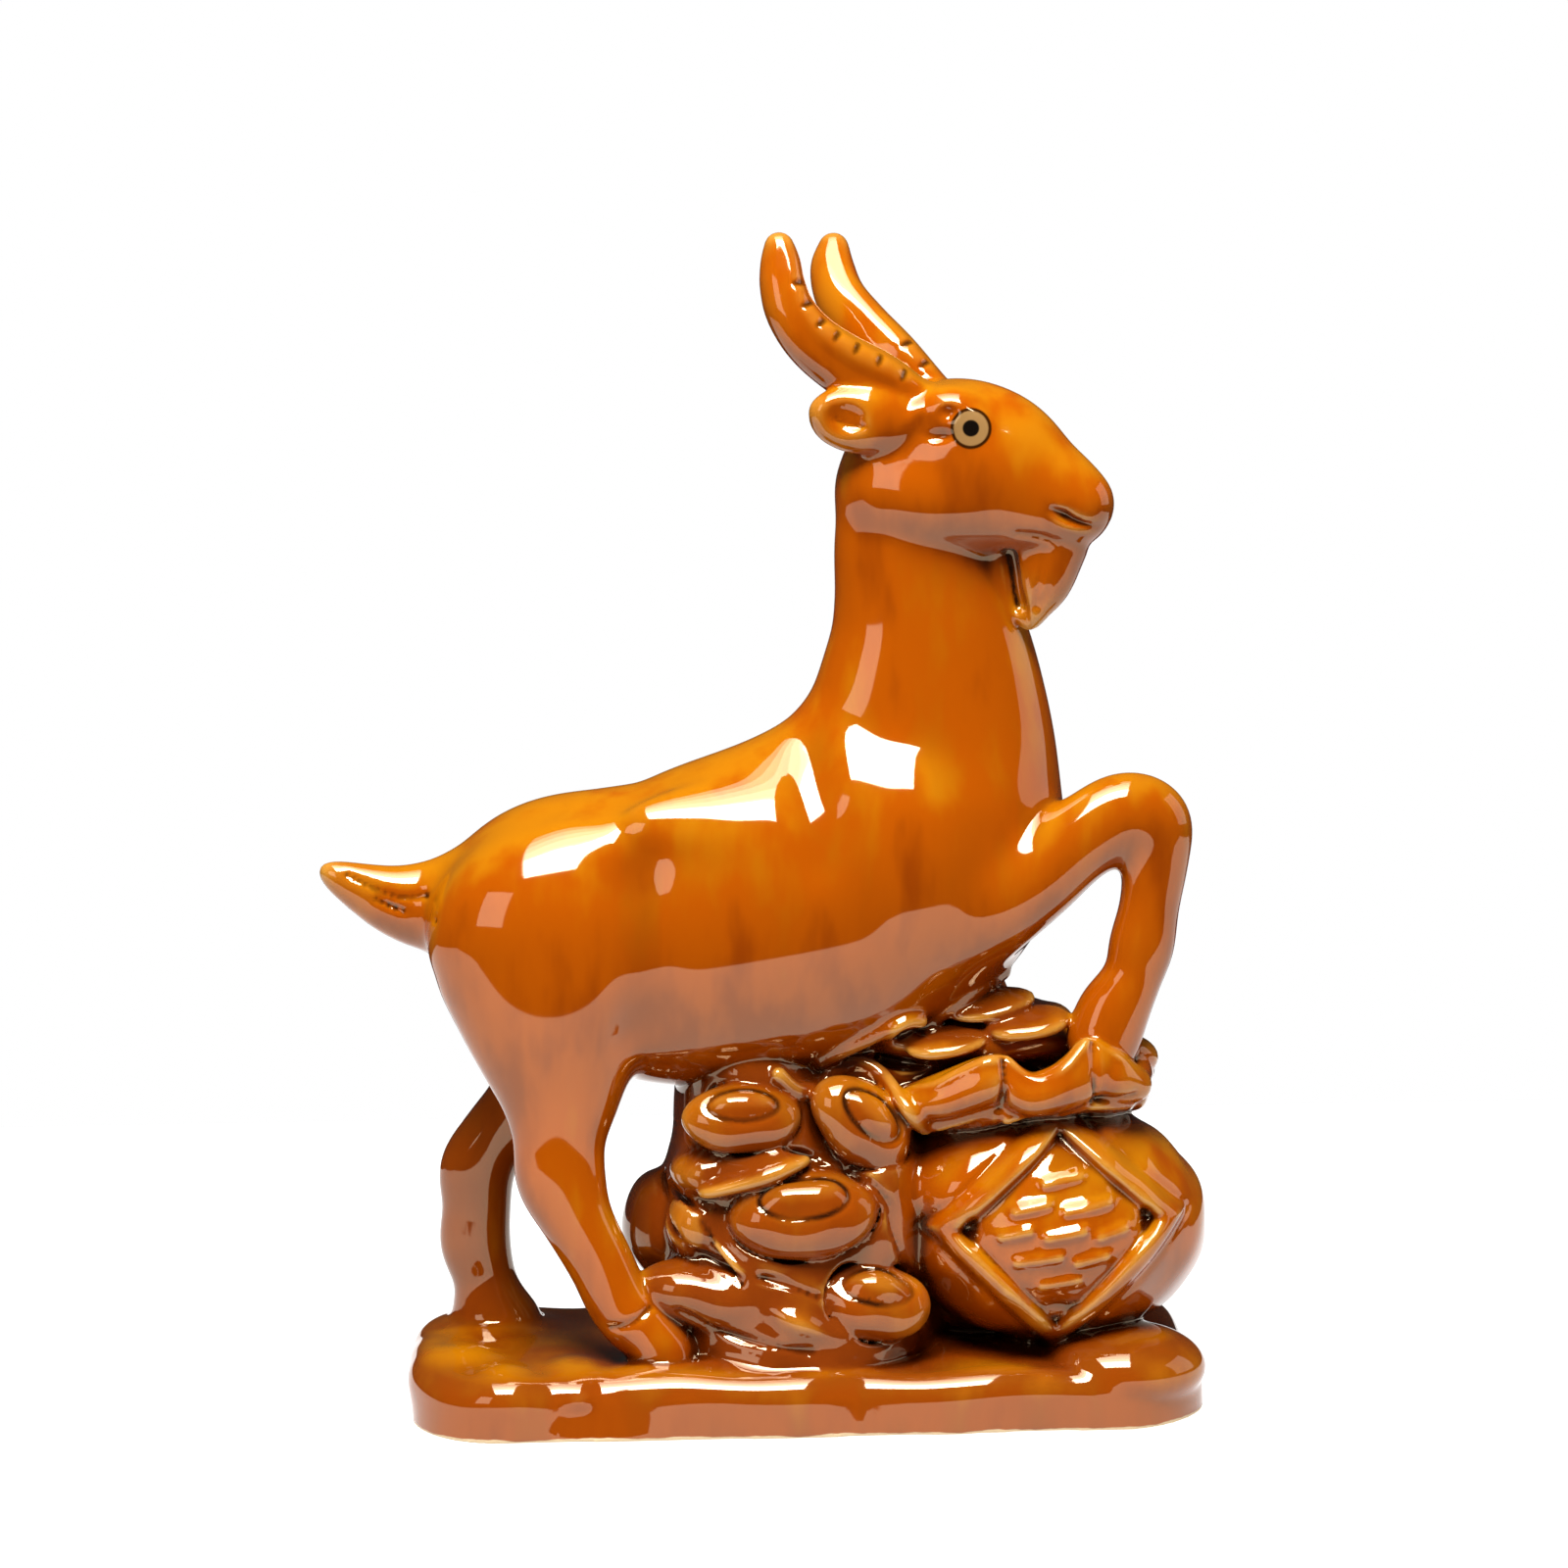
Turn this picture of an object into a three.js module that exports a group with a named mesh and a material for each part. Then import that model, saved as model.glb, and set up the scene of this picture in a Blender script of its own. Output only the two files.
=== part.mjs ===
// Sancai sheep figure: a slip-cast, amber-glazed ceramic goat standing with one foreleg raised
// on the ruffled mouth of a money bag, beside a rock heaped with boat-shaped ingots, on one base.
// Millimetres, +Z up, the goat looks towards +X and the modelled front of the figure is -Y.
// The figure is one fired body, so it is built as one lump of clay: round forms are laid into a
// field of distances, blended where a modeller would smooth the joint, and skinned as one mesh.
import * as THREE from 'three';
import { MarchingCubes } from 'three/addons/objects/MarchingCubes.js';
import { SimplifyModifier } from 'three/addons/modifiers/SimplifyModifier.js';
import { mergeVertices } from 'three/addons/utils/BufferGeometryUtils.js';

// Whole figure.
const LOW = [-118, -50, -3];
const HIGH = [118, 50, 304];
const GRID = 2.0;
const TRIANGLES = 9600;
const GLAZE_COLOUR = 0xb8640c;

// Rounded oblong base with a softened top edge and a few hand-pressed lumps.
const BASE_LOW = [-91, -44, 0];
const BASE_HIGH = [111, 44, 15.5];
const BASE_CORNER = 26;
const BASE_EDGE = 6;
const BASE_LUMPS = [
  { at: [97, -20, 14], radii: [14, 22, 8.5], blend: 5 },
  { at: [92, 20, 12], radii: [18, 20, 8], blend: 5 },
  { at: [-70, 20, 12], radii: [17, 16, 6], blend: 6 },
];

// Stations of the rounded limbs: x, y, z, half-height in the line's plane, half-width across it.
const TORSO = [
  [-60, -1, 127, 25, 21],
  [-50, -1, 126, 32, 26],
  [-36, -1, 123.5, 36.5, 29.5],
  [-20, -1, 122.5, 40, 31],
  [-4, -1, 126, 42.5, 32],
  [12, -1, 130, 43, 32],
  [28, -1, 135, 42, 31],
  [43, -1, 141, 33, 28],
];
const NECK = [
  [44, 0, 146, 33, 28],
  [43.5, 0, 165, 33, 27],
  [43, 0, 182, 30.2, 24.5],
  [43.5, 0, 195, 26.4, 21.5],
  [41.2, 0, 208, 23, 18.8],
  [38, 0, 221, 19.8, 16.6],
  [37.2, 0, 232, 17.6, 15],
  [38, 0, 240, 16.4, 14],
];
const HIND_LEG_NEAR = [
  [-57, -14, 122, 29, 17],
  [-54.5, -17, 103, 23.5, 16],
  [-52.8, -19, 87, 16.4, 12.5],
  [-53.2, -21, 74, 12.2, 9.5],
  [-53, -22, 63.5, 11.8, 8.5],
  [-49.2, -22.5, 53, 9.6, 7.5],
  [-43, -23, 41, 8.2, 7],
  [-38.8, -23.5, 31.5, 8.2, 7],
  [-35.5, -24, 24, 8.6, 8],
];
const HIND_HOOF_NEAR = [
  [-38, -24, 26, 7.5, 7.5],
  [-32, -24, 20.5, 7.5, 8.5],
  [-29, -24, 16.5, 8.5, 8.5],
];
const HIND_LEG_FAR = [
  [-55, 12, 122, 27, 17],
  [-53, 15, 104, 21, 15],
  [-54, 17, 90, 14.5, 12],
  [-59.5, 18.5, 77, 10.2, 9.5],
  [-67.5, 19.5, 67, 9.2, 8.5],
  [-73, 20, 57, 10.2, 8.5],
  [-73.3, 20, 47, 9.3, 7.5],
  [-73.8, 20, 37, 9.6, 8],
  [-71.2, 20, 27, 8.4, 7.5],
  [-70, 20, 19, 10, 9],
];
const HIND_HOOF_FAR = [
  [-70, 20, 20, 9, 9],
  [-66, 20, 15, 10, 10],
];
const FORELEG_NEAR = [
  [38, -12, 130, 22, 14],
  [52, -15, 131, 17, 12.5],
  [67, -17, 137, 12, 10.5],
  [79, -18, 147, 10.8, 9.5],
  [90, -18, 153.6, 11, 9],
  [97.5, -18, 151.5, 10.8, 8.5],
  [99, -18, 142, 8.8, 7.5],
  [97.5, -18, 130, 8, 7],
  [95.6, -18, 120, 8.8, 7.2],
  [93.6, -18, 112, 7.8, 6.8],
  [88.5, -18, 103, 9.6, 8],
  [86, -18, 96, 10, 8.5],
];
const FORELEG_FAR = [
  [36, 10, 130, 22, 13],
  [48, 15, 113, 13, 11],
  [58, 20, 100, 9, 9],
  [63, 23, 88, 8.5, 8],
  [60, 25, 76, 7.5, 7],
  [58, 26, 64, 8, 7.5],
  [62, 27, 56, 9, 9],
];
const TAIL = [
  [-76, -1, 132, 11.5, 8],
  [-84, -1, 130.5, 10.5, 7],
  [-93, -1, 132.2, 8, 6],
  [-101, -1, 135.3, 5.8, 4.5],
  [-108, -1, 138.2, 3.6, 3],
  [-110.8, -1, 139.3, 2.4, 2.2],
];

// The head is turned towards the front; its stations are forward, left, height, then as above.
const HEAD_TURN = THREE.MathUtils.degToRad(24);
const POLL_X = 45;
const SKULL = [
  [-9, 0, 244, 14, 13],
  [2, 0, 242.5, 19.2, 16],
  [12.5, 0, 240.6, 19.6, 15.5],
  [23, 0, 237.2, 16, 12.8],
  [31.5, 0, 234.2, 12.6, 10.6],
  [37, 0, 232.8, 9.6, 9],
];
const JAW = [
  [-8, 0, 230, 9, 12],
  [10, 0, 226.5, 7, 10],
  [26, 0, 225.5, 5.2, 7.5],
  [36.5, 0, 224.6, 4, 5.5],
];
const BEARD_FRONT = [
  [30, 0, 219.5, 9, 5.5],
  [28, 0, 212, 6.2, 4.8],
  [26, 0, 206, 3.4, 3],
  [25, 0, 202.5, 1.6, 1.8],
];
const BEARD_BACK = [
  [22, 0, 221, 6, 4.5],
  [22, 0, 212, 6, 4],
  [24, 0, 204, 3, 2.4],
];
const MOUTH_CUT = [
  [41, 7, 228.6, 1.4, 3],
  [34, 10, 229.6, 1.4, 3],
  [29, 12, 231, 1, 2],
];
const BROW = [
  [2, 11, 252.5, 3.5, 3.5],
  [9, 12, 256.5, 3.2, 3.5],
  [17, 11.5, 256, 2.4, 3],
];
const EYE_AT = [13.7, 13.2, 251.8];
const EYE_RADII = [5.6, 3, 5.6];
const EAR = [
  [-6.5, 12, 254, 7, 4],
  [-14, 18, 253.2, 9, 4],
  [-20.5, 22, 253.6, 6.8, 3.4],
  [-24.5, 24, 254.6, 3.4, 2.6],
];
const EAR_HOLLOW_AT = [-15.5, 23.6, 252.4];
const EAR_HOLLOW_RADII = [8.4, 4.2, 5];
const HORN_NEAR = [
  [37, -4.5, 258.5, 6.8, 6.4],
  [28.5, -5.5, 264.2, 6.8, 6.2],
  [19.5, -6, 268.8, 6.6, 6],
  [12, -6, 274, 6.3, 5.6],
  [7, -5, 280, 5.9, 5.2],
  [4.8, -3.5, 286.5, 5.3, 4.7],
  [4.7, -2, 292.5, 4.5, 4.2],
  [4.9, -1.4, 296.4, 3.5, 3.5],
];
const HORN_FAR = [
  [42, 8.5, 259.5, 7, 6.4],
  [35, 12.5, 268.5, 7, 6.2],
  [28, 18, 276, 6.6, 6],
  [22.8, 23, 283.2, 6, 5.4],
  [21, 27, 290, 5.1, 4.6],
  [21.6, 29, 295.5, 3.6, 3.6],
];

// Rock: a core under the belly, a ledge under the chest, and stones pressed onto the front.
const ROCK_CORE = [
  [-2, 4, 84, 17, 18],
  [-1, 4, 68, 20, 22],
  [0, 4, 50, 25, 26],
  [3, 3, 32, 30, 31],
  [8, 0, 14, 38, 36],
];
const ROCK_LEDGE = [
  [0, 4, 74, 14, 20],
  [30, 6, 86, 13, 22],
  [58, 4, 94, 11, 18],
  [74, 0, 94, 8, 13],
];
const ROCK_LUMPS = [
  { at: [60, 14, 46], radii: [42, 25, 42], blend: 8 },
  { at: [-24, 8, 38], radii: [12, 18, 17], blend: 3 },
  { at: [-19, -18, 50], radii: [8.5, 9, 9.5], blend: 1.2 },
];
const STONES = [
  { line: [[-19, -16, 64, 5.5, 6], [-11, -24, 62, 4.5, 5], [0, -27, 66, 3.5, 4], [9, -27, 71, 3.5, 4]], blend: 2 },
  { line: [[-14.5, -25, 56, 1.8, 3], [-13, -26, 48, 2.2, 3.5], [-7, -28, 41, 2, 3]], blend: 1.2 },
  { line: [[-22, -17, 33, 9, 9], [-12, -24, 32, 9, 10], [2, -30, 28, 6, 8], [12, -34, 23, 3, 5]], blend: 1.5 },
  { line: [[29, -24, 62, 3, 4], [31.5, -25, 52, 3, 4], [34, -27, 42, 3, 4], [38, -30, 33, 2.5, 3.5]], blend: 1.5 },
  { line: [[2, -20, 87, 3, 3], [11, -24, 82.5, 2.6, 3], [20, -27, 88.5, 2.6, 3], [30, -28, 86, 2.8, 3.2],
    [37, -28, 77, 2.8, 3.2]], blend: 1.5 },
  { line: [[46, -16, 96, 2, 4], [56, -17, 101, 4.5, 8], [66, -17, 103, 4.5, 8], [72, -16, 104, 2, 4]], blend: 1 },
  { line: [[58, -20, 93, 2.5, 5], [68, -21, 97.5, 4, 8], [78, -20, 99, 4, 8], [82, -18, 99, 2, 4]], blend: 1 },
  { line: [[38, -22, 90, 2, 5], [50, -23, 92.5, 3, 7], [62, -23, 94, 2.6, 6]], blend: 1 },
  { line: [[40, -20, 99, 2, 4], [34.5, -21, 100, 2, 4], [32.8, -21, 96, 2, 4], [36, -21, 95, 2, 4]], blend: 0.8 },
];

// Boat-shaped ingots: centre, half length, half width, tilt in the front plane, lean to the back.
const INGOTS = [
  { at: [-6.5, -22, 78], long: 15.2, short: 9.6, tilt: 0, lean: 30 },
  { at: [24, -26, 76], long: 14.5, short: 11, tilt: -42, lean: 20 },
  { at: [9, -29, 54], long: 19, short: 12, tilt: 6, lean: 30 },
  { at: [26.5, -37, 31], long: 15.2, short: 10, tilt: -12, lean: 35 },
];

// Money bag: a full round body, a drawn-in neck and a wide wavy ruffle above it.
const BAG_BODY = { at: [73, -5, 46], radii: [40, 36, 31], blend: 1.5 };
const BAG_SHOULDER = { at: [84, -2, 60], radii: [25, 30, 22], blend: 8 };
const BAG_NECK = [
  [44, -14, 76, 6, 12],
  [60, -12, 79, 6, 17],
  [78, -8, 80, 6, 20],
  [94, -4, 79, 6, 18],
];
const BAG_RUFFLE = [
  [33, -24, 83, 4, 6],
  [46, -28, 84, 8, 6.5],
  [58, -32, 86.5, 8.5, 6.5],
  [66, -31.5, 83.5, 8, 5.5],
  [76, -33, 86, 8.5, 6],
  [85, -30, 90, 10, 6.5],
  [92, -24, 87.5, 9, 7],
  [96, -14, 86, 6.5, 7],
  [96, 6, 86, 6, 7],
];

// Raised diamond on the front of the bag, with shallow plain strokes inside it.
const DIAMOND = [[78.8, 80.5], [101.5, 54.5], [72.5, 22], [44, 53.5]];
const DIAMOND_RIDGE = 2.4;
const DIAMOND_HEIGHT = 1.8;
const STROKES = [
  [[63, 67.5], [76, 68.5]], [[80, 72.5], [82.5, 66]],
  [[59, 61], [69, 61.5]], [[73, 62], [93, 61.5]],
  [[57, 54.5], [66, 54]], [[71, 56], [79, 54.5]], [[84, 56], [95, 54.5]],
  [[60, 47.5], [74, 47]], [[79, 48.5], [91, 48]],
  [[65, 40.5], [71, 41.5]], [[75, 41], [85, 41.5]],
  [[69, 34.5], [78, 34.5]],
];
const STROKE_WIDTH = 1.9;
const STROKE_HEIGHT = 1.6;
const RELIEF_DEPTH = 45;

const FAR = 50;
const EAST = [1, 0, 0];
const NORTH = [0, 1, 0];
const UP = [0, 0, 1];
const FORWARD = [Math.cos(HEAD_TURN), -Math.sin(HEAD_TURN), 0];
const LEFTWARD = [Math.sin(HEAD_TURN), Math.cos(HEAD_TURN), 0];

// The field of distances: positive outside the clay, negative inside.
class Clay {
  constructor(low, high, step) {
    this.low = low;
    this.step = step;
    this.count = low.map((value, axis) => Math.ceil((high[axis] - value) / step) + 1);
    const [nx, ny, nz] = this.count;
    this.field = new Float32Array(nx * ny * nz).fill(FAR);
  }

  // Calls visit(index, x, y, z) at each grid point between two corners.
  each(from, to, visit) {
    const first = from.map((v, a) => Math.max(0, Math.ceil((v - this.low[a]) / this.step)));
    const last = to.map((v, a) => Math.min(this.count[a] - 1, Math.floor((v - this.low[a]) / this.step)));
    const [nx, ny] = this.count;
    for (let k = first[2]; k <= last[2]; k++) {
      for (let j = first[1]; j <= last[1]; j++) {
        for (let i = first[0]; i <= last[0]; i++) {
          visit((k * ny + j) * nx + i, this.low[0] + i * this.step, this.low[1] + j * this.step,
            this.low[2] + k * this.step);
        }
      }
    }
  }
}

// Joins two distances with a soft fillet about as wide as the blend.
function join(a, b, blend) {
  const h = Math.max(blend - Math.abs(a - b), 0) / blend;
  return Math.min(a, b) - h * h * h * blend / 6;
}

// Cuts the second form out of the first with the same soft fillet.
function carve(a, b, blend) {
  return -join(-a, b, blend);
}

// Smooth line through the stations, with its radii carried along.
function smoothLine(rows, steps = 5) {
  const ends = (p, q) => p.map((v, i) => 2 * v - q[i]);
  const all = [ends(rows[0], rows[1]), ...rows, ends(rows.at(-1), rows.at(-2))];
  const out = [];
  for (let n = 1; n < all.length - 2; n++) {
    const [a, b, c, d] = [all[n - 1], all[n], all[n + 1], all[n + 2]];
    for (let s = 0; s < steps; s++) {
      const t = s / steps;
      out.push(b.map((v, i) => 0.5 * (2 * v + (c[i] - a[i]) * t + (2 * a[i] - 5 * v + 4 * c[i] - d[i]) * t * t
        + (3 * v - a[i] - 3 * c[i] + d[i]) * t * t * t)));
    }
  }
  out.push(rows.at(-1));
  return out;
}

// A limb: an ellipse carried along the smooth line, its half-width lying along the side direction.
function limb(clay, rows, blend, side = NORTH, cut = false) {
  const line = smoothLine(rows);
  const length = Math.hypot(...side);
  const [ux, uy, uz] = side.map((v) => v / length);
  const nearest = new Map();
  for (let n = 0; n + 1 < line.length; n++) {
    const p = line[n];
    const q = line[n + 1];
    const reach = Math.max(p[3], p[4], q[3], q[4]) + blend + 2;
    const from = [0, 1, 2].map((a) => Math.min(p[a], q[a]) - reach);
    const to = [0, 1, 2].map((a) => Math.max(p[a], q[a]) + reach);
    const [ex, ey, ez] = [q[0] - p[0], q[1] - p[1], q[2] - p[2]];
    const square = ex * ex + ey * ey + ez * ez + 1e-9;
    clay.each(from, to, (index, x, y, z) => {
      const [gx, gy, gz] = [x - p[0], y - p[1], z - p[2]];
      const h = Math.min(1, Math.max(0, (gx * ex + gy * ey + gz * ez) / square));
      const r = p[3] + h * (q[3] - p[3]);
      const w = p[4] + h * (q[4] - p[4]);
      const [dx, dy, dz] = [gx - h * ex, gy - h * ey, gz - h * ez];
      const across = dx * ux + dy * uy + dz * uz;
      const s2 = across * across;
      const p2 = Math.max(dx * dx + dy * dy + dz * dz - s2, 0);
      const k0 = Math.sqrt(p2 / (r * r) + s2 / (w * w));
      const k1 = Math.sqrt(p2 / r ** 4 + s2 / w ** 4) + 1e-6;
      const distance = k0 * (k0 - 1) / k1;
      const old = nearest.get(index);
      if (old === undefined || distance < old) {
        nearest.set(index, distance);
      }
    });
  }
  for (const [index, distance] of nearest) {
    const old = clay.field[index];
    clay.field[index] = cut ? carve(old, distance, blend) : join(old, distance, blend);
  }
}

// Right-handed directions of a turned form: forward, side and up.
function turned(forward, upward) {
  const f = new THREE.Vector3(...forward).normalize();
  const u = new THREE.Vector3(...upward);
  u.addScaledVector(f, -u.dot(f)).normalize();
  const s = new THREE.Vector3().crossVectors(u, f);
  return [f.toArray(), s.toArray(), u.toArray()];
}

// An ellipsoid with its three radii along its own directions.
function blob(clay, at, radii, blend, axes = [EAST, NORTH, UP], cut = false) {
  const reach = Math.max(...radii) + blend + 2;
  clay.each(at.map((v) => v - reach), at.map((v) => v + reach), (index, x, y, z) => {
    const g = [x - at[0], y - at[1], z - at[2]];
    let k0 = 0;
    let k1 = 0;
    for (let a = 0; a < 3; a++) {
      const t = (g[0] * axes[a][0] + g[1] * axes[a][1] + g[2] * axes[a][2]) / radii[a];
      k0 += t * t;
      k1 += t * t / (radii[a] * radii[a]);
    }
    k0 = Math.sqrt(k0);
    const distance = k0 * (k0 - 1) / (Math.sqrt(k1) + 1e-6);
    const old = clay.field[index];
    clay.field[index] = cut ? carve(old, distance, blend) : join(old, distance, blend);
  });
}

// A low slab with round corners in plan and a rounded top edge.
function slab(clay, low, high, corner, edge, blend) {
  const middle = [0, 1].map((a) => (low[a] + high[a]) / 2);
  const half = [0, 1].map((a) => (high[a] - low[a]) / 2 - corner);
  const outside = (a, b) => Math.hypot(Math.max(a, 0), Math.max(b, 0)) + Math.min(Math.max(a, b), 0);
  clay.each(low.map((v) => v - 8), high.map((v) => v + 8), (index, x, y, z) => {
    const plan = outside(Math.abs(x - middle[0]) - half[0], Math.abs(y - middle[1]) - half[1]) - corner;
    const distance = outside(plan + edge, z - high[2] + edge) - edge;
    clay.field[index] = join(clay.field[index], distance, blend);
  });
}

// Softens the whole field once along each axis, as a wet sponge softens the modelled clay.
function sponge(clay) {
  const [nx, ny, nz] = clay.count;
  const stride = [1, nx, nx * ny];
  for (let a = 0; a < 3; a++) {
    const old = clay.field.slice();
    for (let k = 0; k < nz; k++) {
      for (let j = 0; j < ny; j++) {
        for (let i = 0; i < nx; i++) {
          const at = [i, j, k][a];
          if (at === 0 || at === clay.count[a] - 1) {
            continue;
          }
          const n = (k * ny + j) * nx + i;
          clay.field[n] = 0.5 * old[n] + 0.25 * (old[n - stride[a]] + old[n + stride[a]]);
        }
      }
    }
  }
}

// A point given forward, left and up from the poll, and stations given the same way.
function headPoint([f, l, h]) {
  return [POLL_X + FORWARD[0] * f + LEFTWARD[0] * l, FORWARD[1] * f + LEFTWARD[1] * l, h];
}

function headLine(rows, mirror = 1) {
  return rows.map(([f, l, h, r, w]) => [...headPoint([f, l * mirror, h]), r, w]);
}

function modelGoat(clay) {
  limb(clay, TORSO, 6);
  limb(clay, NECK, 14);
  limb(clay, HIND_LEG_NEAR, 8);
  limb(clay, HIND_HOOF_NEAR, 3);
  limb(clay, HIND_LEG_FAR, 7);
  limb(clay, HIND_HOOF_FAR, 3);
  limb(clay, FORELEG_NEAR, 6);
  limb(clay, FORELEG_FAR, 6);
  limb(clay, TAIL, 5);
  limb(clay, headLine(SKULL), 7, LEFTWARD);
  limb(clay, headLine(JAW), 3, LEFTWARD);
  limb(clay, headLine(BEARD_FRONT), 3, LEFTWARD);
  limb(clay, headLine(BEARD_BACK), 3, LEFTWARD);
  limb(clay, HORN_NEAR, 3);
  limb(clay, HORN_FAR, 3);
  for (const mirror of [-1, 1]) {
    limb(clay, headLine(BROW, mirror), 5, LEFTWARD);
    const eye = headPoint([EYE_AT[0], EYE_AT[1] * mirror, EYE_AT[2]]);
    blob(clay, eye, EYE_RADII, 1, [FORWARD, LEFTWARD, UP]);
    limb(clay, headLine(MOUTH_CUT, mirror), 1.5, LEFTWARD, true);
    limb(clay, headLine(EAR, mirror), 3, LEFTWARD);
    const hollow = headPoint([EAR_HOLLOW_AT[0], EAR_HOLLOW_AT[1] * mirror, EAR_HOLLOW_AT[2]]);
    const along = FORWARD.map((v, a) => 0.8 * v - 0.6 * mirror * LEFTWARD[a]);
    blob(clay, hollow, EAR_HOLLOW_RADII, 1.2, turned(along, UP), true);
  }
}

function modelIngot(clay, { at, long, short, tilt, lean }) {
  const t = THREE.MathUtils.degToRad(tilt);
  const l = THREE.MathUtils.degToRad(lean);
  const axes = turned([Math.cos(t), 0, Math.sin(t)], [0, -Math.cos(l), Math.sin(l)]);
  const shift = (side, up) => at.map((v, a) => v + axes[1][a] * side * short + axes[2][a] * up * short);
  blob(clay, at, [long, short, 0.75 * short], 0.8, axes);
  blob(clay, shift(0.08, 0.72), [0.8 * long, 0.66 * short, 0.5 * short], 1.2, axes, true);
  blob(clay, shift(0.12, 0.2), [0.56 * long, 0.44 * short, 0.5 * short], 0.6, axes);
}

function modelRock(clay) {
  limb(clay, ROCK_CORE, 6);
  limb(clay, ROCK_LEDGE, 6);
  for (const { at, radii, blend } of ROCK_LUMPS) {
    blob(clay, at, radii, blend);
  }
  for (const { line, blend } of STONES) {
    limb(clay, line, blend);
  }
}

function modelBag(clay) {
  blob(clay, BAG_BODY.at, BAG_BODY.radii, BAG_BODY.blend);
  blob(clay, BAG_SHOULDER.at, BAG_SHOULDER.radii, BAG_SHOULDER.blend);
  limb(clay, BAG_NECK, 2);
  limb(clay, BAG_RUFFLE, 2, [0, 1, 0.2]);
}

// Height of a rounded bar at a distance from its middle line.
function barHeight(distance, width, height) {
  const t = Math.min(1, distance / width);
  return height * (1 - t * t) * (1 - t * t);
}

function segmentDistance(x, z, [a, b]) {
  const [ex, ez] = [b[0] - a[0], b[1] - a[1]];
  const h = Math.min(1, Math.max(0, ((x - a[0]) * ex + (z - a[1]) * ez) / (ex * ex + ez * ez)));
  return Math.hypot(x - a[0] - h * ex, z - a[1] - h * ez);
}

// Raises the diamond and the plain strokes out of the front of the bag.
function raiseDiamond(clay) {
  const sides = DIAMOND.map((corner, n) => [corner, DIAMOND[(n + 1) % 4]]);
  clay.each([38, -RELIEF_DEPTH - 5, 14], [108, -14, 88], (index, x, y, z) => {
    const edge = Math.min(...sides.map((side) => segmentDistance(x, z, side)));
    const bar = Math.min(...STROKES.map((stroke) => segmentDistance(x, z, stroke)));
    const raised = Math.max(barHeight(edge, 2 * DIAMOND_RIDGE, DIAMOND_HEIGHT),
      barHeight(bar, 2 * STROKE_WIDTH, STROKE_HEIGHT));
    clay.field[index] -= raised;
  });
}

// Closes pinholes shut in between stones: only the space that joins the outside stays open.
function closePockets(clay) {
  const [nx, ny] = clay.count;
  const steps = [1, -1, nx, -nx, nx * ny, -nx * ny];
  const open = new Uint8Array(clay.field.length);
  const queue = [clay.field.length - 1];
  open[queue[0]] = 1;
  while (queue.length > 0) {
    const index = queue.pop();
    for (const step of steps) {
      const next = index + step;
      if (next >= 0 && next < open.length && open[next] === 0 && clay.field[next] > 0) {
        open[next] = 1;
        queue.push(next);
      }
    }
  }
  clay.field.forEach((value, index) => {
    if (value > 0 && open[index] === 0) {
      clay.field[index] = -clay.step;
    }
  });
}

// Skins the clay where its distance is zero and thins the mesh to the wanted number of triangles.
async function skin(clay) {
  const size = Math.max(...clay.count) + 3;
  const cubes = new MarchingCubes(size, new THREE.MeshBasicMaterial(), false, false, 400000);
  cubes.isolation = 0;
  cubes.field.fill(-FAR);
  const [nx, ny, nz] = clay.count;
  const least = 0.02 * clay.step;
  for (let k = 0; k < nz; k++) {
    for (let j = 0; j < ny; j++) {
      for (let i = 0; i < nx; i++) {
        const value = -clay.field[(k * ny + j) * nx + i];
        const kept = Math.abs(value) < least ? (value < 0 ? -least : least) : value;
        cubes.field[((k + 1) * size + j + 1) * size + i + 1] = kept;
      }
    }
  }
  cubes.update();
  const raw = new THREE.BufferGeometry();
  const used = cubes.positionArray.slice(0, cubes.count * 3);
  raw.setAttribute('position', new THREE.BufferAttribute(used, 3));
  const half = size / 2;
  raw.translate(1, 1, 1);
  raw.scale(half * clay.step, half * clay.step, half * clay.step);
  raw.translate(...clay.low.map((v) => v - clay.step));
  const closed = mergeVertices(raw, 1e-3);
  const kept = TRIANGLES / 2;
  const thinned = await new SimplifyModifier().modify(closed, closed.attributes.position.count - kept);
  thinned.computeVertexNormals();
  return thinned;
}

const clay = new Clay(LOW, HIGH, GRID);
modelGoat(clay);
sponge(clay);
const heap = new Clay(LOW, HIGH, GRID);
modelRock(heap);
modelBag(heap);
raiseDiamond(heap);
INGOTS.forEach((ingot) => modelIngot(heap, ingot));
clay.field.forEach((value, index) => {
  clay.field[index] = join(value, heap.field[index], 1);
});
sponge(clay);
slab(clay, BASE_LOW, BASE_HIGH, BASE_CORNER, BASE_EDGE, 2);
BASE_LUMPS.forEach(({ at, radii, blend }) => blob(clay, at, radii, blend));
clay.each(LOW, HIGH, (index, x, y, z) => {
  clay.field[index] = Math.max(clay.field[index], -z);
});
closePockets(clay);

const figure = new THREE.Mesh(
  await skin(clay),
  new THREE.MeshStandardMaterial({ color: GLAZE_COLOUR, roughness: 0.08, metalness: 0 }),
);
figure.name = 'sheep_figure';

const group = new THREE.Group();
group.add(figure);
export default group;
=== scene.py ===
"""Amber-glazed ceramic goat with one foreleg raised on a money bag, beside a rock heaped with ingots.

The figure is one fired body, so it is one object. It is modelled in millimetres in a field of
distances, as soft clay is modelled by adding rolls and balls and smoothing them together, and the
field's zero surface becomes the mesh. The goat looks towards +X and the modelled front is -Y.

A roll is a list of stations: place, half height and half width. A ball is a place, three radii and
a blend. A blend is the width over which a form flows into the clay that is there before it.
"""
import math

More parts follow.
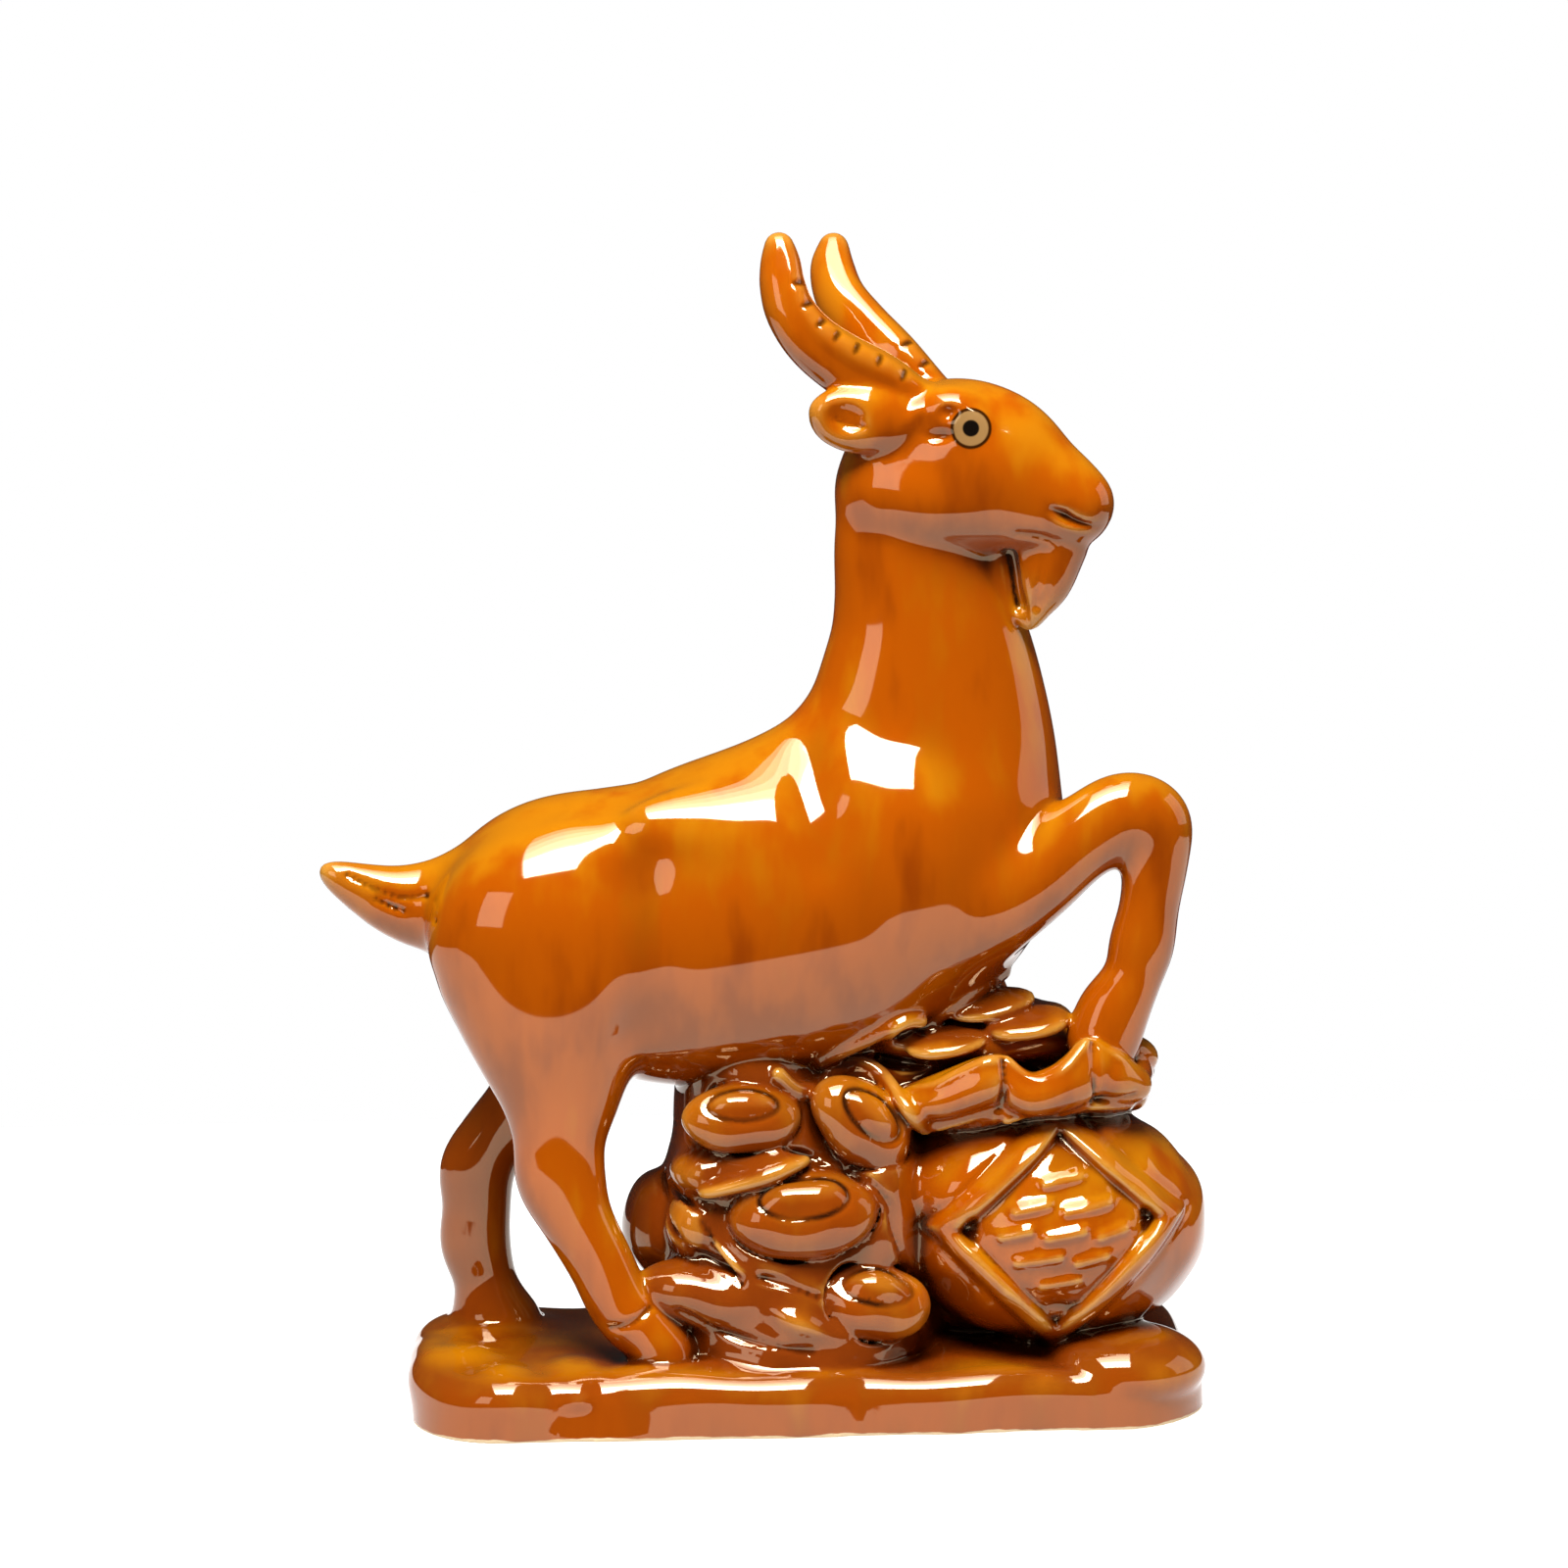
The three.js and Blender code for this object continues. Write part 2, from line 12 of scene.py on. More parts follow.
import bpy
import numpy as np
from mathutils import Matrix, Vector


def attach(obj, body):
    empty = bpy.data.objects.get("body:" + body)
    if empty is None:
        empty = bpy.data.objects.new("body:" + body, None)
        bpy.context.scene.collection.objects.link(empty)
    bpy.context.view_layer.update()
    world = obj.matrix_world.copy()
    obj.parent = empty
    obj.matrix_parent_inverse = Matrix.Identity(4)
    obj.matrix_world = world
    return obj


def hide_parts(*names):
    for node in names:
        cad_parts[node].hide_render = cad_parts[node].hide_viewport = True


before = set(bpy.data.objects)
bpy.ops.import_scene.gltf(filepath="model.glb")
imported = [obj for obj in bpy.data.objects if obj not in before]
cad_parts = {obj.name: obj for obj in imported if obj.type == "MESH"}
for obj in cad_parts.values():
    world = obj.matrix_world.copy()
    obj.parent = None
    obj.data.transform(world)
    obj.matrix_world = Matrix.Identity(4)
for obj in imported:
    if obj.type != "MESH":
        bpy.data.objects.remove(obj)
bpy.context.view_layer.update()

# Goat's body, neck, legs and tail: one hollow cast of white earthenware, full and round. Only soft
# folds are left between these forms, so they are laid on a coarse grid, softened, and only then
# refined for the crisper parts.
FIGURE_LOW = (-117, -51, -3)
FIGURE_HIGH = (117, 49.5, 306)
COARSE = 1.5
AIR = 50.0
MARGIN = 2
EAST, NORTH, UP = np.eye(3)
BODY_SPONGE = 1.9
SIDES = (-1, 1)

TORSO = [
    (-60, -1, 127, 25, 20), (-50, -1, 126, 32, 25), (-36, -1, 123.5, 36.5, 27.5),
    (-20, -1, 122.5, 40, 29.5), (-4, -1, 126, 42.5, 30.5), (12, -1, 130, 43, 30),
    (28, -1, 135, 42, 27.5), (43, -1, 141, 33, 24),
]
MANE = [
    (30, 0, 184, 13.5, 12), (21.4, 0, 169.8, 15.5, 14), (12.5, 0, 162.2, 15.5, 16),
    (-5.4, 0, 153, 15.5, 18), (-20, 0, 148, 15, 18),
]
MUSCLES = [
    ((-51, 13, 117), (25, 20, 34), 6), ((36, 13, 140), (22, 18.5, 32), 5),
]
FLANK_CREASE = dict(
    radius=12, depth=0.45, blend=4,
    places=[(-34, 146), (-33, 134), (-31.5, 122), (-30.5, 111), (-30.5, 99)],
)
WITHERS_CREASE = dict(
    radius=12, depth=0.8, blend=3, places=[(7, 178), (9, 168), (11, 158), (12, 146)]
)
FLATS = [
    ((-8, 156), (-0.1, 0.836, 0.54), (30, 10, 4)),
    ((24, 168), (-0.13, 0.836, 0.533), (17, 13, 4)),
    ((-47, 148.5), (-0.06, 0.837, 0.544), (12, 8, 3)),
]
FLAT_PROUD = 0.4
FLAT_BLEND = 5
NECK = [
    (44, 0, 146, 33, 24), (43.5, 0, 163, 33, 20), (43.2, 0, 180, 30, 17), (43, 0, 195, 25.8, 15),
    (40.8, 0, 208, 22.4, 13.4), (38, 0, 221, 19.8, 12), (37.2, 0, 232, 17.6, 11.8),
    (38, 0, 240, 16.4, 12),
]
HIND_LEG_NEAR = [
    (-57, -14, 122, 29, 18), (-54.5, -17, 105, 23.5, 15.4), (-52.8, -18.4, 87, 16.4, 11.8),
    (-53.2, -20.3, 74, 12.2, 9.2), (-53, -21.5, 63.5, 11.8, 8.3), (-49.2, -22.5, 53, 9.6, 7.5),
    (-43, -23, 41, 8.8, 7.2), (-38.8, -23.5, 31.5, 8.6, 7.4), (-35.5, -24, 26, 8, 7.6),
]
HIND_HOOF_NEAR = [
    (-35, -24, 28, 7.4, 7.4), (-30.5, -24.5, 22.5, 8, 8), (-27, -25, 17.5, 8.6, 8.6),
]
HIND_LEG_FAR = [
    (-55, 12, 122, 27, 17), (-53, 15, 104, 21, 15), (-54, 17, 90, 14.5, 12),
    (-59.5, 18.5, 77, 10.2, 9.5), (-67.5, 19.5, 67, 9.2, 8.5), (-73, 20, 57, 10.2, 8.5),
    (-73.3, 20, 47, 9.3, 7.5), (-73.8, 20, 37, 9.6, 8), (-71.2, 20, 27, 8.4, 7.5),
    (-70, 20, 19, 10, 9),
]
HIND_HOOF_FAR = [
    (-70, 20, 20, 9, 9), (-66, 20, 15, 10, 10),
]
HOOF_AND_TAIL_CREASES = [
    (0.9, [(-41, 26), (-37, 27), (-33.5, 29), (-31, 31)]),
    (0.9, [(-86, 134), (-93, 133.5), (-100, 136), (-106, 139)]),
    (0.8, [(-84, 129), (-92, 130), (-99, 133)]),
]
FORELEG_NEAR = [
    (38, -12, 130, 22, 14), (52, -15, 131, 17, 12.5), (67, -17, 137, 12, 10.5),
    (79, -18, 147, 10.8, 9.5), (90, -18, 153.6, 11, 9), (97.5, -18, 151.5, 10.8, 8.5),
    (99, -18, 142, 8.8, 7.5), (97.5, -18, 130, 8, 7), (95.6, -18, 120, 8.8, 7.2),
    (93.6, -18, 112, 7.8, 6.8), (88.5, -18, 103, 9.6, 8), (86, -18, 96, 10, 8.5),
]
FORELEG_FAR = [
    (36, 10, 130, 22, 13), (48, 15, 113, 13, 11), (58, 20, 100, 9, 9), (63, 23, 88, 8.5, 8),
    (60, 25, 76, 7.5, 7), (58, 26, 64, 8, 7.5), (62, 27, 56, 9, 9),
]
TAIL = [
    (-76, -1, 132, 12.5, 8.5), (-84, -1, 130, 12, 8), (-93, -1, 131.2, 9.6, 7),
    (-101, -1, 134.3, 7.2, 5.5), (-108, -1, 137.6, 5, 4.2), (-112, -1, 139.8, 3, 3),
]
BODY_ROLLS = [
    (TORSO, 6), (NECK, 12), (MANE, 4), (HIND_LEG_NEAR, 8), (HIND_HOOF_NEAR, 3), (HIND_LEG_FAR, 7),
    (HIND_HOOF_FAR, 3), (FORELEG_NEAR, 6), (FORELEG_FAR, 6), (TAIL, 5),
]


class Clay:
    """Distances to the clay's skin on an even grid: positive in the air, negative in the clay."""

    def __init__(self, low, counts, step):
        self.low = np.array(low, float)
        self.step = step
        self.axes = [
            (l + step * np.arange(n)).astype(np.float32) for l, n in zip(self.low, counts)
        ]
        self.field = np.full(counts, AIR, np.float32)

    def window(self, low, high):
        """Slices of the grid between two corners, and the open coordinate arrays there."""
        cut = tuple(
            slice(*(int(i) for i in np.searchsorted(axis, [l, h])))
            for axis, l, h in zip(self.axes, low, high)
        )
        x, y, z = (axis[part] for axis, part in zip(self.axes, cut))
        return cut, x[:, None, None], y[None, :, None], z[None, None, :]

    def region(self, low, high):
        """An empty grid on the same points, that covers a window of this one."""
        cut = self.window(low, high)[0]
        corner = [axis[part.start] for axis, part in zip(self.axes, cut)]
        piece = Clay(corner, [part.stop - part.start for part in cut], self.step)
        piece.cut = cut
        return piece


def join(a, b, blend):
    """Lesser of two distances, with a cubic fillet where they differ by less than the blend."""
    h = np.maximum(blend - np.abs(a - b), 0) / blend
    return np.minimum(a, b) - h * h * h * (blend / 6)


def press(clay, part, form, blend, cut):
    """Joins a form's distances into part of the clay, or cuts the form out of it."""
    old = clay.field[part]
    clay.field[part] = -join(-old, form, blend) if cut else join(old, form, blend)


def smooth_line(stations, steps):
    """Catmull-Rom curve through the stations, with their radii carried along as more columns."""
    p = np.array(stations, float)
    p = np.vstack([2 * p[0] - p[1], p, 2 * p[-1] - p[-2]])
    t = np.arange(steps)[:, None] / steps
    out = [
        0.5 * (2 * b + (c - a) * t + (2 * a - 5 * b + 4 * c - d) * t**2
               + (3 * b - a - 3 * c + d) * t**3)
        for a, b, c, d in zip(p[:-3], p[1:-2], p[2:-1], p[3:])
    ]
    return np.vstack(out + [p[-2][None]])


def roll(clay, stations, blend, side=NORTH, cut=False, steps=6):
    """Lays a roll of clay along a smooth line, or presses one out of it.

    The section is an ellipse: half-height across the side direction, half-width along it. With k0
    the offset from the line divided by the radii, and k1 the offset divided by their squares, the
    distance is k0 (k0 - 1) / k1, and the nearest stretch of the line counts.
    """
    line = smooth_line(stations, steps)
    across = np.array(side, float) / np.linalg.norm(side)
    reach = line[:, 3:5].max() + blend + MARGIN
    whole, x, y, z = clay.window(line[:, :3].min(0) - reach, line[:, :3].max(0) + reach)
    out = np.full([part.stop - part.start for part in whole], AIR, np.float32)
    for p, q in zip(line[:-1], line[1:]):
        reach = max(p[3], p[4], q[3], q[4]) + blend + MARGIN
        small, x, y, z = clay.window(
            np.minimum(p[:3], q[:3]) - reach, np.maximum(p[:3], q[:3]) + reach
        )
        e = (q - p)[:3]
        x, y, z = (a - np.float32(b) for a, b in zip((x, y, z), p))
        ex, ey, ez, square = (np.float32(v) for v in (*e, e @ e + 1e-9))
        h = np.clip((x * ex + y * ey + z * ez) / square, 0, 1)
        r2 = (np.float32(p[3]) + h * np.float32(q[3] - p[3])) ** 2
        w2 = (np.float32(p[4]) + h * np.float32(q[4] - p[4])) ** 2
        dx, dy, dz = x - h * ex, y - h * ey, z - h * ez
        s2 = sum(d * np.float32(a) for d, a in zip((dx, dy, dz), across)) ** 2
        p2 = np.maximum(dx * dx + dy * dy + dz * dz - s2, 0)
        k0 = np.sqrt(p2 / r2 + s2 / w2)
        k1 = np.sqrt(p2 / (r2 * r2) + s2 / (w2 * w2)) + np.float32(1e-6)
        here = tuple(slice(a.start - b.start, a.stop - b.start) for a, b in zip(small, whole))
        out[here] = np.minimum(out[here], k0 * (k0 - 1) / k1)
    press(clay, whole, out, blend, cut)


def ball(clay, at, radii, blend, axes=np.eye(3), cut=False):
    """Presses on an ellipsoid, or presses one out, with a roll's distance along its own axes."""
    reach = max(radii) + blend + MARGIN
    whole, *grid = clay.window(np.subtract(at, reach), np.add(at, reach))
    x, y, z = (a - np.float32(b) for a, b in zip(grid, at))
    k0 = k1 = 0
    for axis, radius in zip(np.asarray(axes, np.float32), radii):
        t = (x * axis[0] + y * axis[1] + z * axis[2]) / np.float32(radius)
        k0 = k0 + t * t
        k1 = k1 + t * t / np.float32(radius**2)
    k0 = np.sqrt(k0)
    distance = k0 * (k0 - 1) / (np.sqrt(k1) + np.float32(1e-6))
    press(clay, whole, distance, blend, cut)


def sponge(field, sigma):
    """Gaussian average of a field along each axis in turn, out to three sigma, in grid steps."""
    reach = int(math.ceil(3 * sigma))
    weights = np.exp(-0.5 * (np.arange(-reach, reach + 1) / sigma) ** 2)
    weights = (weights / weights.sum()).astype(np.float32)
    for axis in range(3):
        padded = np.pad(field, [(reach, reach) if a == axis else (0, 0) for a in range(3)], "edge")
        length = field.shape[axis]
        field = np.zeros_like(field)
        for start, weight in enumerate(weights):
            cut = [slice(None)] * 3
            cut[axis] = slice(start, start + length)
            field += weight * padded[tuple(cut)]
    return field


def refined(clay):
    """The same field on half the step: a cubic B-spline through the coarse values, whose weights
    are 1-4-1 over 6 on the old points and 1-23-23-1 over 48 halfway between them."""
    low = clay.low
    fine = Clay(low, [2 * n - 1 for n in clay.field.shape], clay.step / 2)
    field = clay.field
    for axis in range(3):
        f = np.moveaxis(field, axis, 0)
        padded = np.concatenate([f[:1], f, f[-1:]])
        shape = (2 * len(f) - 1,) + f.shape[1:]
        out = np.empty(shape, np.float32)
        out[::2] = (padded[:-2] + 4 * padded[1:-1] + padded[2:]) / 6
        out[1::2] = (padded[:-3] + 23 * padded[1:-2] + 23 * padded[2:-1] + padded[3:]) / 48
        field = np.moveaxis(out, 0, axis)
    fine.field = np.ascontiguousarray(field)
    return fine


def turned(forward, upward):
    """Right-handed directions of a turned form: forward, side, and up squared to forward."""
    f = np.array(forward, float) / np.linalg.norm(forward)
    u = np.array(upward, float)
    u = u - f * (u @ f)
    u = u / np.linalg.norm(u)
    return np.array([f, np.cross(u, f), u])


def met(clay, x, z, side=-1):
    """Depth at which a line from the front (or with side 1, from the back) first meets the clay."""
    i = int(round((x - clay.low[0]) / clay.step))
    k = int(round((z - clay.low[2]) / clay.step))
    column = clay.field[i, ::-side, k]
    j = max(int(np.argmax(column < 0)), 1)
    share = column[j - 1] / (column[j - 1] - column[j])
    start = clay.axes[1][0 if side < 0 else -1]
    return float(start - side * clay.step * (j - 1 + share))


scored_lines = []
SCORE_STEPS = 4


def score(clay, stations, blend):
    """Presses a narrow line out of the clay and remembers it, since the glaze pools dark in it."""
    roll(clay, stations, blend, cut=True, steps=SCORE_STEPS)
    scored_lines.append(smooth_line(stations, SCORE_STEPS)[:, :3])


def thread(clay, radius, places, blend, cut=False, depth=None, side=-1):
    """Lays a thread of clay along the skin, or scores one out of it, at places in the front plane. It
    is half sunk in the skin, or sunk to a depth."""
    out = 0 if depth is None else (radius - depth) * (1 if cut else -1)
    stations = [(x, met(clay, x, z, side) + side * out, z, radius, radius) for x, z in places]
    if cut and depth is None:
        score(clay, stations, blend)
    else:
        roll(clay, stations, blend, cut=cut)


def threads(clay, table, blend, cut=False):
    """Lays or scores each thread of a table of radii and places."""
    for radius, places in table:
        thread(clay, radius, places, blend, cut)


counts = np.ceil(np.subtract(FIGURE_HIGH, FIGURE_LOW) / COARSE).astype(int) + 1
clay = Clay(FIGURE_LOW, counts, COARSE)
for stations, blend in BODY_ROLLS:
    roll(clay, stations, blend)
for mirror in SIDES:
    for at, radii, blend in MUSCLES:
        ball(clay, np.multiply(at, (1, mirror, 1)), radii, blend)
    thread(clay, **FLANK_CREASE, cut=True, side=mirror)
for mirror in SIDES:
    for (x, z), outward, radii in FLATS:
        outward = np.multiply(outward, (1, mirror, 1))
        at = np.array([x, met(clay, x, z, mirror), z]) + outward * (FLAT_PROUD - radii[2])
        ball(clay, at, radii, FLAT_BLEND, turned(EAST, outward))
    thread(clay, **WITHERS_CREASE, cut=True, side=mirror)

# Goat's head: modelled with the body, turned a little towards the front, with a long smooth face.
# Its stations are given forward, left and up from the poll, so one list serves both sides.
HEAD_TURN = math.radians(24)
POLL_X = 45
FORWARD = np.array([math.cos(HEAD_TURN), -math.sin(HEAD_TURN), 0])
LEFTWARD = np.array([math.sin(HEAD_TURN), math.cos(HEAD_TURN), 0])
SKULL = [
    (-9, 0, 244, 14, 13), (2, 0, 243.5, 20, 16), (12.5, 0, 241.6, 20.4, 15.5),
    (23, 0, 237.2, 16, 12.8), (31.5, 0, 234.2, 12.6, 10.6), (37, 0, 232.8, 9.6, 9),
]
JAW = [
    (-10, -4.5, 235.5, 15, 14.5), (-2, -2.5, 234.5, 15, 16), (6, -1, 234, 14.4, 15),
    (16, 0, 232, 11.8, 12), (26, 0, 229.5, 8.8, 9.2), (36.5, 0, 229, 6.6, 7),
]
BEARD_FRONT = [
    (31.5, 0, 222, 8, 6), (28.5, 0, 213, 7, 5), (26.5, 0, 206, 3.4, 3), (25.5, 0, 202.5, 1.6, 1.8),
]
BEARD_BACK = [
    (25, 0, 221, 5, 4.5), (26.5, 0, 213, 4.6, 4), (26, 0, 205, 2.6, 2.4),
]
THROAT_WEB = [
    (16, 0, 222, 8, 3.5), (20, 0, 212, 7, 2.2), (24, 0, 203, 3, 1.6),
]
BEARD_CREASES = [
    [(37, 5.6, 221, 0.8, 1), (32, 5.8, 213, 0.9, 1), (27.5, 3, 206, 0.5, 0.8)],
    [(30, 6.4, 221, 0.8, 1), (28.5, 5.6, 213.5, 0.9, 1), (26.5, 3, 206, 0.5, 0.8)],
    [(24, 9.6, 225.5, 0.8, 1), (29, 8.2, 225, 0.9, 1), (34, 6.8, 223.5, 0.5, 0.8)],
]
THROAT_HOLLOW = [
    (17, 8, 219.5, 1.5, 3), (20, 6.4, 214, 2.8, 3.6), (23, 4.6, 207, 2, 3),
    (24.5, 3.4, 202, 0.8, 1.6),
]
# A groove in the hollow behind the beard, coloured dark as painted shade, with some glaze pooled in it.
THROAT_SHADE_GROOVE = [(61.9, 219.5), (62.8, 215), (63.6, 210), (64.4, 206.5)]
THROAT_SHADE_GROOVE_RADIUS = 2.1
LINE_BLEND = 1
MOUTH = [
    (33, 10.5, 231.8, 0.7, 1.6), (35.5, 9.4, 230.4, 1.5, 2.4), (38, 8.2, 229, 1.2, 2.2),
    (42, 5.6, 227.8, 0.55, 1.4), (46, 2, 227.4, 0.4, 1.2),
]
BROW_AND_TEMPLE = [
    ((5.5, 9, 256.5), (9.5, 7.5, 6), 5), ((-9, 8.5, 251.5), (10, 8.5, 7), 5),
]
CHEEK_RIDGE = [
    (-1, 13.2, 256, 2, 3), (-6, 14.4, 250.5, 2.2, 3.2), (-11, 14, 245, 1.8, 2.8),
    (-14, 12.5, 241, 1.2, 2),
]
SOCKET = [
    (0.5, 16.4, 250.2, 0.6, 1), (4, 16, 249.8, 1.4, 1.6), (8.5, 15.4, 250.4, 1.4, 1.6),
]
SOCKET_SHADOW = ((7.4, 16.4, 255.8), (3, 2, 2), 1.5)
EYE_AT = (12.7, 12.9, 251.9)
EYE_OUTWARD = (0.22, 0.972, 0.08)
EYE_RADII = (5.6, 5.6, 1.8)
EYE_BLEND = 2.5
EYE_RIM = 5.6
EYE_RIM_WIDTH = 1.3
EYE_RIM_DEPTH = 0.1
EYE_REACH = 9
EAR = [
    (-6.5, 12, 254.5, 6.6, 4), (-13.5, 17.5, 253.6, 8.6, 4), (-19.5, 21, 254.4, 7.4, 3.6),
    (-22.5, 22.5, 255.6, 4.6, 3),
]
EAR_HOLLOW = ((-18.2, 25.6, 254.2), (6.6, 2.7, 4.8), 2)
EAR_ALONG = (0.88, -0.47, 0)
EAR_CREASE = [
    (-12.5, 21.4, 252.2, 0.6, 0.8), (-16, 22.4, 252.6, 0.9, 1), (-20, 23, 254, 0.5, 0.8),
]
HORN_NEAR = [
    (37, -4.5, 257.5, 7.4, 6.6), (28.5, -5.5, 263, 8, 6.8), (19.5, -6, 267.9, 7.8, 6.4),
    (12, -6, 273.7, 7.1, 5.9), (7, -5, 280.5, 6.4, 5.4), (5, -3.5, 287, 5.8, 5),
    (4.6, -2, 292.6, 5.1, 4.5), (4.3, -1.4, 296.8, 3.8, 3.6),
]
HORN_FAR = [
    (42, 8.5, 259.5, 7, 6.4), (34.5, 12.5, 268, 7.4, 6.4), (27.6, 18, 275.6, 7.2, 6.2),
    (22.4, 23, 283, 6.6, 5.6), (20.6, 27, 290, 5.8, 4.9), (21, 29, 295.6, 4, 3.8),
]
HORN_BLEND = 3
HORN_STEPS = 12
BAND_OFFSET = 0.6
BAND_RADIUS = 0.5
BAND_BLEND = 1.5
BAND_TURN = math.radians(50)
NOTCH_START = 6.5
NOTCH_SPACING = 6.6
NOTCH_RADII = (0.5, 3.2, 1.0)
NOTCH_BLEND = 0.4
NOTCH_LENGTH = 1.8
NOTCHES_NEAR = 7
NOTCHES_FAR = 2


def from_poll(place, mirror=1):
    """Figure coordinates of a place given forward, left and up from the poll."""
    f, l, h = place
    return EAST * POLL_X + FORWARD * f + LEFTWARD * l * mirror + UP * h


def head_direction(direction, mirror):
    """Figure direction of one that is given forward, left and up in the head."""
    return from_poll(direction, mirror) - POLL_X * EAST


def head_line(stations, mirror=1):
    """Stations given from the poll, turned into figure coordinates with their radii kept."""
    return [(*from_poll(row[:3], mirror), *row[3:]) for row in stations]


roll(clay, head_line(SKULL), 7, LEFTWARD)
for mirror in SIDES:
    for at, radii, blend in BROW_AND_TEMPLE:
        ball(clay, from_poll(at, mirror), radii, blend, [FORWARD, LEFTWARD, UP])
clay.field = sponge(clay.field, BODY_SPONGE / COARSE)
clay = refined(clay)
roll(clay, head_line(JAW), 5, LEFTWARD)
threads(clay, HOOF_AND_TAIL_CREASES, LINE_BLEND, cut=True)
for stations, blend in ((BEARD_FRONT, 3), (BEARD_BACK, 3), (THROAT_WEB, 2)):
    roll(clay, head_line(stations), blend, LEFTWARD)


def bar_height(distance, width, height, power=2):
    """Height of a rounded bar at a distance from its middle line: height times (1 - t to a power)
    squared, with t the distance over the width. A high power gives it a flat top."""
    t = np.minimum(distance / width, 1)
    return height * (1 - t**power) ** 2


def horn(clay, stations, notches):
    """Lays a horn with a raised band along its front edge, and cuts the band across at even spacing
    from the root. The band's middle is off the horn's by a share of the radius, turned outwards."""
    roll(clay, stations, HORN_BLEND)
    line = smooth_line(stations, HORN_STEPS)
    tangent = np.gradient(line[:, :3], axis=0)
    tangent /= np.linalg.norm(tangent, axis=1, keepdims=True)
    front = np.cross(tangent, NORTH)
    front *= np.sign(front[:, :1] + front[:, 2:]) / np.linalg.norm(front, axis=1, keepdims=True)
    out = math.cos(BAND_TURN) * front - math.sin(BAND_TURN) * NORTH
    radius = line[:, 3:4]
    middle = line[:, :3] + BAND_OFFSET * radius * out
    band = np.hstack([middle, BAND_RADIUS * radius, BAND_RADIUS * radius])
    roll(clay, band[::HORN_STEPS], BAND_BLEND)
    travelled = np.cumsum(np.linalg.norm(np.diff(line[:, :3], axis=0), axis=1))
    for n in range(notches):
        i = int(np.searchsorted(travelled, NOTCH_START + n * NOTCH_SPACING))
        at = middle[i] + BAND_RADIUS * radius[i] * out[i]
        axes = turned(tangent[i], out[i])
        ball(clay, at, NOTCH_RADII, NOTCH_BLEND, axes, cut=True)
        scored_lines.append(at + np.linspace(-NOTCH_LENGTH, NOTCH_LENGTH, 9)[:, None] * axes[1])


horn(clay, HORN_NEAR, NOTCHES_NEAR)
horn(clay, HORN_FAR, NOTCHES_FAR)
for mirror in SIDES:
    roll(clay, head_line(CHEEK_RIDGE, mirror), 4, LEFTWARD)
    for stations, blend in (
        (MOUTH, 0.8),
        (THROAT_HOLLOW, 1.2),
        *((crease, 0.8) for crease in BEARD_CREASES),
        (SOCKET, 1.2),
    ):
        roll(clay, head_line(stations, mirror), blend, LEFTWARD, cut=True)
    at, radii, blend = SOCKET_SHADOW
    ball(clay, from_poll(at, mirror), radii, blend, cut=True)
    eye = from_poll(EYE_AT, mirror)
    outward = head_direction(EYE_OUTWARD, mirror)
    eye_axes = turned(FORWARD - outward * (FORWARD @ outward), outward)
    ball(clay, eye, EYE_RADII, EYE_BLEND, eye_axes)
    cut, *grid = clay.window(eye - EYE_REACH, eye + EYE_REACH)
    x, y, z = (a - b for a, b in zip(grid, eye))
    f, side = (x * axis[0] + y * axis[1] + z * axis[2] for axis in eye_axes[:2])
    from_rim = np.abs(np.hypot(f, side) - EYE_RIM)
    clay.field[cut] += bar_height(from_rim, EYE_RIM_WIDTH, EYE_RIM_DEPTH)
    roll(clay, head_line(EAR, mirror), 3, LEFTWARD)
    at, radii, blend = EAR_HOLLOW
    axes = turned(head_direction(EAR_ALONG, mirror), UP)
    ball(clay, from_poll(at, mirror), radii, blend, axes, cut=True)
    roll(clay, head_line(EAR_CREASE, mirror), 0.8, LEFTWARD, cut=True)
# The throat groove is scored twice, so the whole hollow behind the beard turns dark: painted shade,
# with some glaze pooled in the groove.
thread(clay, THROAT_SHADE_GROOVE_RADIUS, THROAT_SHADE_GROOVE, LINE_BLEND, cut=True)
shade_groove_line = smooth_line(THROAT_SHADE_GROOVE, SCORE_STEPS)
scored_lines.append(np.array([(x, met(clay, x, z), z) for x, z in shade_groove_line]))

# Rock: a lumpy core of clay under the belly that carries the goat, with a ledge under its chest. It
# is cast with the body; its lumps flow into each other, and thin creases and threads part them.
HEAP_LOW = (-48, -50, 2)
HEAP_HIGH = (118.5, 49, 118)
ROCK_CORE = [
    (-3, 2, 84, 19.5, 24), (-1, 2, 70, 22, 28), (0, 2, 54, 26, 31.5), (3, 1, 34, 31, 35),
    (8, 0, 14, 38, 38),
]
ROCK_LEDGE = [
    (0, 4, 74, 14, 20), (30, 6, 86, 13, 22), (58, 4, 94, 11, 18), (74, 0, 94, 8, 13),
]
ROCK_LUMPS = [
    ((60, 14, 46), (42, 25, 42), 8), ((-26, 4, 45), (10, 16, 14), 4),
    ((27, -12, 50), (14, 17, 34), 8), ((-16, -15, 63), (9, 11, 6.5), 4),
    ((-2, -20, 64.5), (13, 10, 5.5), 4), ((-18.5, -17, 49.5), (8, 10.5, 8.5), 3),
]
ROCK_WEDGES = [
    ((-12, -22, 31), (23, 11, 9), -12), ((8, -31, 26.5), (11, 7, 3.6), -24),
    ((-4, -26, 63.5), (15, 7, 3.2), 17),
]
WEDGE_BLEND = 3
ROCK_FOOT = ((-6, -31, 13), (30, 7, 4.5), 4)
THREADS = [
    (1.3, [(-15, 54.5), (-14.5, 48), (-10, 42), (-4, 38.5)]),
    (1.2, [(12, 66.5), (18, 63), (21, 59)]),
    (2.2, [(2.3, 88.5), (7.3, 84), (13.5, 84), (18.5, 88),
           (23.5, 89.8), (29.8, 86.6), (35, 80), (40, 74.5)]),
]
